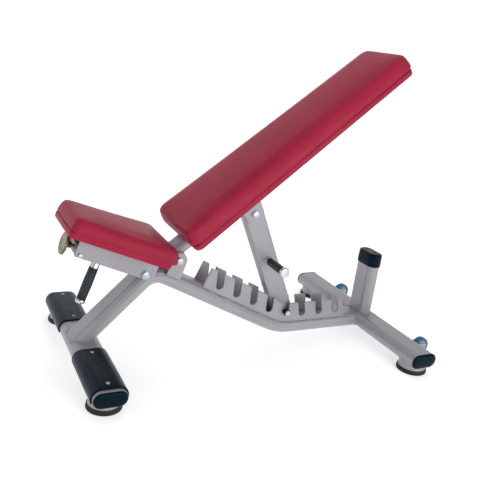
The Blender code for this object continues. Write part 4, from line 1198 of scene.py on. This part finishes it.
def pad(name, plan, levels, at, body, pinned_below, travel, pressure, seams, replaced):
    """Stack, remesh, inflate, press the seams in, then lay it on its board."""
    shell = bmesh.new()
    layers_into(shell, plan, levels)
    bmesh.ops.triangulate(shell, faces=[f for f in shell.faces if len(f.verts) > 4])
    bmesh.ops.recalc_face_normals(shell, faces=shell.faces)
    obj = new_object(name, mesh_of(name, shell))
    applied(obj, "REMESH", mode="VOXEL", voxel_size=VOXEL)
    applied(obj, "SMOOTH", iterations=3, factor=0.5)
    longest = 0.0
    longest = inflate(obj, pinned_below, travel, pressure)
    applied(obj, "SMOOTH", iterations=4, factor=0.5)
    applied(obj, "SUBSURF", levels=1, render_levels=1)
    for height, wide, deep in seams:
        for vertex in obj.data.vertices:
            near = abs(vertex.co.z - height) / wide
            flat = Vector((vertex.normal.x, vertex.normal.y, 0))
            if near < 1.0 and flat.length > 0.5:
                vertex.co -= flat.normalized() * deep * (0.5 + 0.5 * cos(pi * near))
    obj.data.transform(at)
    obj.data.materials.clear()
    obj.data.materials.append(crimson_vinyl)
    obj.data.shade_smooth()
    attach(obj, body)
    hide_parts(*replaced)
    print(name, len(obj.data.vertices), "points, swelled by at most",
          round(longest * 1000, 1), "mm")
    return obj

# %% [markdown]
# The back pad is thick and almost flat on top, with a broad rounded shoulder. Its side pulls in
# a little above the seam, where the top panel is sewn to the band.

# %% Back cushion


def shoulder(inset, top, radius, steps=6):
    """Rounded top edge that ends flat."""
    return [(inset + radius - radius * cos(a), top - radius + radius * sin(a))
            for a in (pi / 2 * k / steps for k in range(1, steps + 1))]


BACK_LOW = BACK_BOARD_LOW + BOARD + 0.0006
BACK_TOP = BACK_LOW + 0.061
BACK_SEAM = BACK_LOW + 0.006
back_levels = [(0.010, BACK_LOW), (0.006, BACK_LOW + 0.001), (0.003, BACK_LOW + 0.004),
               (0.001, BACK_LOW + 0.010), (0.003, BACK_LOW + 0.022),
               (0.007, BACK_TOP - 0.022)] + shoulder(0.008, BACK_TOP - 0.004, 0.014, 8) + [
                   (0.050, BACK_TOP - 0.001), (0.080, BACK_TOP + 0.001),
                   (0.120, BACK_TOP + 0.002)]
back_pad = pad("back_cushion", back_plan, back_levels, back_plane, "back", BACK_LOW + 0.008,
               0.004, 1.4, ((BACK_SEAM, 0.004, 0.0016),), ("back_pad",))

# %% [markdown]
# The seat pad is thinner, widens towards the back, and has three fine rows pressed into its side.

# %% Seat cushion
SEAT_LOW = SEAT_BOARD_LOW + BOARD + 0.0006
SEAT_TOP = SEAT_LOW + 0.046
SEAT_SEAM = SEAT_LOW + 0.004
seat_levels = [(0.006, SEAT_LOW), (0.002, SEAT_LOW + 0.001), (0.0, SEAT_LOW + 0.004),
               (0.001, SEAT_LOW + 0.012), (0.006, SEAT_TOP - 0.012),
               (0.011, SEAT_TOP - 0.0035), (0.0135, SEAT_TOP - 0.0012), (0.018, SEAT_TOP),
               (0.045, SEAT_TOP + 0.003), (0.080, SEAT_TOP + 0.005)]
seat_pad = pad("seat_cushion", seat_plan, seat_levels, seat_plane, "seat", SEAT_LOW + 0.006,
               0.003, 1.2, ((SEAT_SEAM, 0.003, 0.0012), (SEAT_LOW + 0.012, 0.0026, 0.0007),
                            (SEAT_LOW + 0.019, 0.0026, 0.0006)), ("seat_pad",))

# %% [markdown]
# The cover is two shapes sewn together: a top panel and a side band. A row of thread stitches
# shows just above the lower seam. Each stitch is a tiny rounded bar. Their places are found by
# shooting rays in towards the swollen pad, so they lie on its real skin.

# %% Find the pad's skin


def skin_of(obj, matrix):
    """The pad's skin in its own flat frame, as a ray target."""
    back = matrix.inverted()
    return BVHTree.FromPolygons([back @ v.co for v in obj.data.vertices],
                                [list(f.vertices) for f in obj.data.polygons])


def round_the_skin(skin, plan, height, pitch):
    """Even points on the skin at one height, with the way out from the pad."""
    edge = plan(0.0)
    ends = min(p[0] for p in edge) + 0.04, max(p[0] for p in edge) - 0.04
    core = [Vector((x, y, height)) for x, y in plan(0.02)]
    found = []
    for point in evenly([Vector((x, y, height)) for x, y in plan(-0.04)], pitch, True):
        if ends[0] < point.x < ends[1]:
            inwards = Vector((0, -copysign(1, point.y), 0))
        else:
            inwards = (min(core, key=lambda p: (p - point).length_squared) - point).normalized()
        hit, normal, _, _ = skin.ray_cast(point, inwards)
        if hit is not None:
            found.append((hit, normal))
    return found

# %% [markdown]
# A fine cord lies in the seam's groove. The stitches above it are built as one piece, because
# there are hundreds of them and they never move apart.

# %% Seam cord and stitches
STITCH = 0.0046
STITCH_PITCH = 0.0072
STITCH_ABOVE = 0.0045
THREAD = 0.0005
CORD = 0.0005
CORD_SINK = 0.0003
CORD_PITCH = 0.006


def seam_cord(name, skin, plan, height, at, body):
    """A fine cord pressed into the seam's groove."""
    points = [hit - normal * CORD_SINK
              for hit, normal in round_the_skin(skin, plan, height, CORD_PITCH)]
    points = evenly([at @ p for p in points], CORD_PITCH, True)
    shell = bmesh.new()
    sweep_into(shell, points, [CORD] * len(points), True, 6)
    settle(name, shell, body, "vinyl", thread_red, sharp=ROUND_WORK)


def stitches(name, skin, plan, height, at, body):
    """One piece holding every stitch of a row."""
    spots = round_the_skin(skin, plan, height, STITCH_PITCH / 2)
    shell = bmesh.new()
    count = 0
    for i in range(0, len(spots) - 1, 2):
        a, na = spots[i]
        b, nb = spots[i + 1]
        if (b - a).length > STITCH_PITCH:
            continue
        way = (b - a).normalized()
        a, b = (a + b) / 2 - way * STITCH / 2, (a + b) / 2 + way * STITCH / 2
        out = (na + nb).normalized() * 0.0002
        line = [at @ (a - out * 2), at @ (a.lerp(b, 0.25) + out), at @ (a.lerp(b, 0.75) + out),
                at @ (b - out * 2)]
        sweep_into(shell, line, [0.0003, THREAD, THREAD, 0.0003], False, 5)
        count += 1
    settle(name, shell, body, "vinyl", thread_red, sharp=ROUND_WORK)
    print(name, count, "stitches")


for label, obj, plan, at, body, seam in (
        ("back", back_pad, back_plan, back_plane, "back", BACK_SEAM),
        ("seat", seat_pad, seat_plan, seat_plane, "seat", SEAT_SEAM)):
    skin = skin_of(obj, at)
    seam_cord(label + "_seam", skin, plan, seam, at, body)
    stitches(label + "_stitches", skin, plan, seam + STITCH_ABOVE, at, body)

# %% [markdown]
# Below the cushion the vinyl goes on round the board's edge and is stapled under it. That wrap
# is one loop: up the outside of the board, over its top edge, and back down the inside. A row
# of staples and a black dust cloth finish the underside.

# %% Wraps, staples and dust cloths
WRAP = 0.0024
FOLD = 0.020
STAPLE_PITCH = 0.020
STAPLE_HALF = 0.005


def wrap(label, plan, low, at, body):
    """The vinyl's lower edge, round the board and under it."""
    profile = [(0.0042, low + BOARD + 0.0030), (0.0034, low + BOARD - 0.0010),
               (0.0036, low + 0.0012), (0.0050, low - WRAP), (FOLD, low - WRAP),
               (FOLD, low - 0.0001), (0.0062, low - 0.0001), (0.0058, low + 0.0010),
               (0.0058, low + BOARD + 0.0030)]
    layers(label + "_wrap", plan, profile, at, body, "vinyl", hollow=True)


def staples(label, plan, low, at, body):
    """A row of wire staples along the fold."""
    ring = [Vector((x, y, low - WRAP)) for x, y in plan(FOLD - 0.006)]
    shell = bmesh.new()
    path = evenly(ring, STAPLE_PITCH, True)
    down = Vector((0, 0, -0.0006))
    for i, point in enumerate(path):
        way = (path[(i + 1) % len(path)] - point).normalized() * STAPLE_HALF
        line = [point - way, point - way + down, point + way + down, point + way]
        sweep_into(shell, [at @ p for p in line], [0.0004] * 4, False, 5)
    settle(label + "_staples", shell, body, "zinc", sharp=RIM_WORK)
    return len(path)


def dust_sheet(label, plan, low, at, body):
    """Black cloth over the board's underside."""
    levels = [(FOLD - 0.002, low - 0.0004), (FOLD - 0.002, low - 0.0012),
              (FOLD + 0.001, low - 0.0016)]
    layers(label + "_dust_cloth", plan, levels, at, body, "vinyl", dust_cloth)


for label, plan, low, at, body in (
        ("back", back_board_plan, BACK_BOARD_LOW, back_plane, "back"),
        ("seat", seat_board_plan, SEAT_BOARD_LOW, seat_plane, "seat")):
    wrap(label, plan, low, at, body)
    print(label, "wrap with", staples(label, plan, low, at, body), "staples")
    dust_sheet(label, plan, low, at, body)

# %% [markdown]
# A plain pale floor that curls up behind the bench has no horizon, which keeps the eye on the
# object. It is one long strip with a rounded bend. Like a studio's lit table, it glows a
# little, so light reaches the tubes from below and the shadows stay faint.

# %% Floor
SWEEP_BACK = 7.0
BEND = 3.0
HALF_FLOOR = 14.0
shell = bmesh.new()
strip = [(-9.0, 0.0), (SWEEP_BACK, 0.0)]
strip += [(SWEEP_BACK + BEND * sin(a), BEND - BEND * cos(a))
          for a in (pi / 2 * k / 12 for k in range(1, 13))]
strip.append((SWEEP_BACK + BEND, 12.0))
rows = [[shell.verts.new((x, y, z)) for x in (-HALF_FLOOR, HALF_FLOOR)] for y, z in strip]
for low, high in zip(rows, rows[1:]):
    shell.faces.new((low[0], low[1], high[1], high[0]))
mesh = mesh_of("floor", shell)
mesh.shade_smooth()
floor = new_object("floor", mesh)
PALE = (0.90, 0.90, 0.90)
pale_floor, tree, shader, where = finish("pale_floor", PALE, 0.85)
tint(tree, shader, noise(tree, where, 0.8, 3.0), (0.3, PALE), (0.7, (0.93, 0.93, 0.93)))
shader.inputs["Specular IOR Level"].default_value = 0.1
shader.inputs["Emission Color"].default_value = (1.0, 1.0, 1.0, 1.0)
shader.inputs["Emission Strength"].default_value = 0.50
mesh.materials.append(pale_floor)
print("floor laid,", 2 * HALF_FLOOR, "m wide")

# %% [markdown]
# Soft studio light: a bright even sky for the white surroundings, a large key light low beside
# the camera that brightens the faces turned to it, a softer one from the seat end, and a faint
# top light that keeps contact shadows under the feet.

# %% Light
world = bpy.data.worlds.new("studio")
bpy.context.scene.world = world
world.use_nodes = True
sky = world.node_tree.nodes["Background"]
sky.inputs["Color"].default_value = (1.0, 1.0, 1.0, 1.0)
sky.inputs["Strength"].default_value = 0.42


def softbox(name, spot, target, wide, tall, power):
    """A square-cornered lamp aimed at a target."""
    lamp = bpy.data.lights.new(name, "AREA")
    lamp.shape = "RECTANGLE"
    lamp.size = wide
    lamp.size_y = tall
    lamp.energy = power
    obj = new_object(name, lamp)
    obj.location = spot
    obj.rotation_euler = (Vector(target) - Vector(spot)).to_track_quat("-Z", "Y").to_euler()


softbox("key", (0.9, -3.4, 0.8), (0.0, 0.0, 0.40), 3.0, 1.2, 52)
softbox("seat_end", (-3.4, -0.6, 1.6), (0.0, 0.0, 0.3), 1.4, 1.4, 10)
softbox("top", (0.4, 0.6, 3.2), (0.0, 0.0, 0.0), 1.6, 1.6, 12)
print("three softboxes hung")

# %% [markdown]
# The camera stands in front of the seat end's near corner, a little above the pads, and is
# rolled a few degrees. Its matrix is built from yaw, pitch and roll, so nothing is left to a
# tracking constraint.

# %% Camera
YAW, PITCH, ROLL = radians(28.37), radians(17.66), radians(7.56)
CAMERA_AT = Vector((-1.0130, -1.7888, 1.0278))
LENS = 47.745
ahead = Vector((sin(YAW) * cos(PITCH), cos(YAW) * cos(PITCH), -sin(PITCH)))
level = Vector((cos(YAW), -sin(YAW), 0))
upward = level.cross(ahead)
right = level * cos(ROLL) + upward * sin(ROLL)
top = upward * cos(ROLL) - level * sin(ROLL)
view = bpy.data.cameras.new("camera")
view.lens = LENS
view.sensor_width = 36.0
camera = new_object("camera", view)
camera.matrix_world = from_columns(right, top, -ahead, CAMERA_AT)
bpy.context.scene.camera = camera
bpy.context.scene.view_settings.view_transform = "Standard"
print("camera at", [round(v, 3) for v in CAMERA_AT])
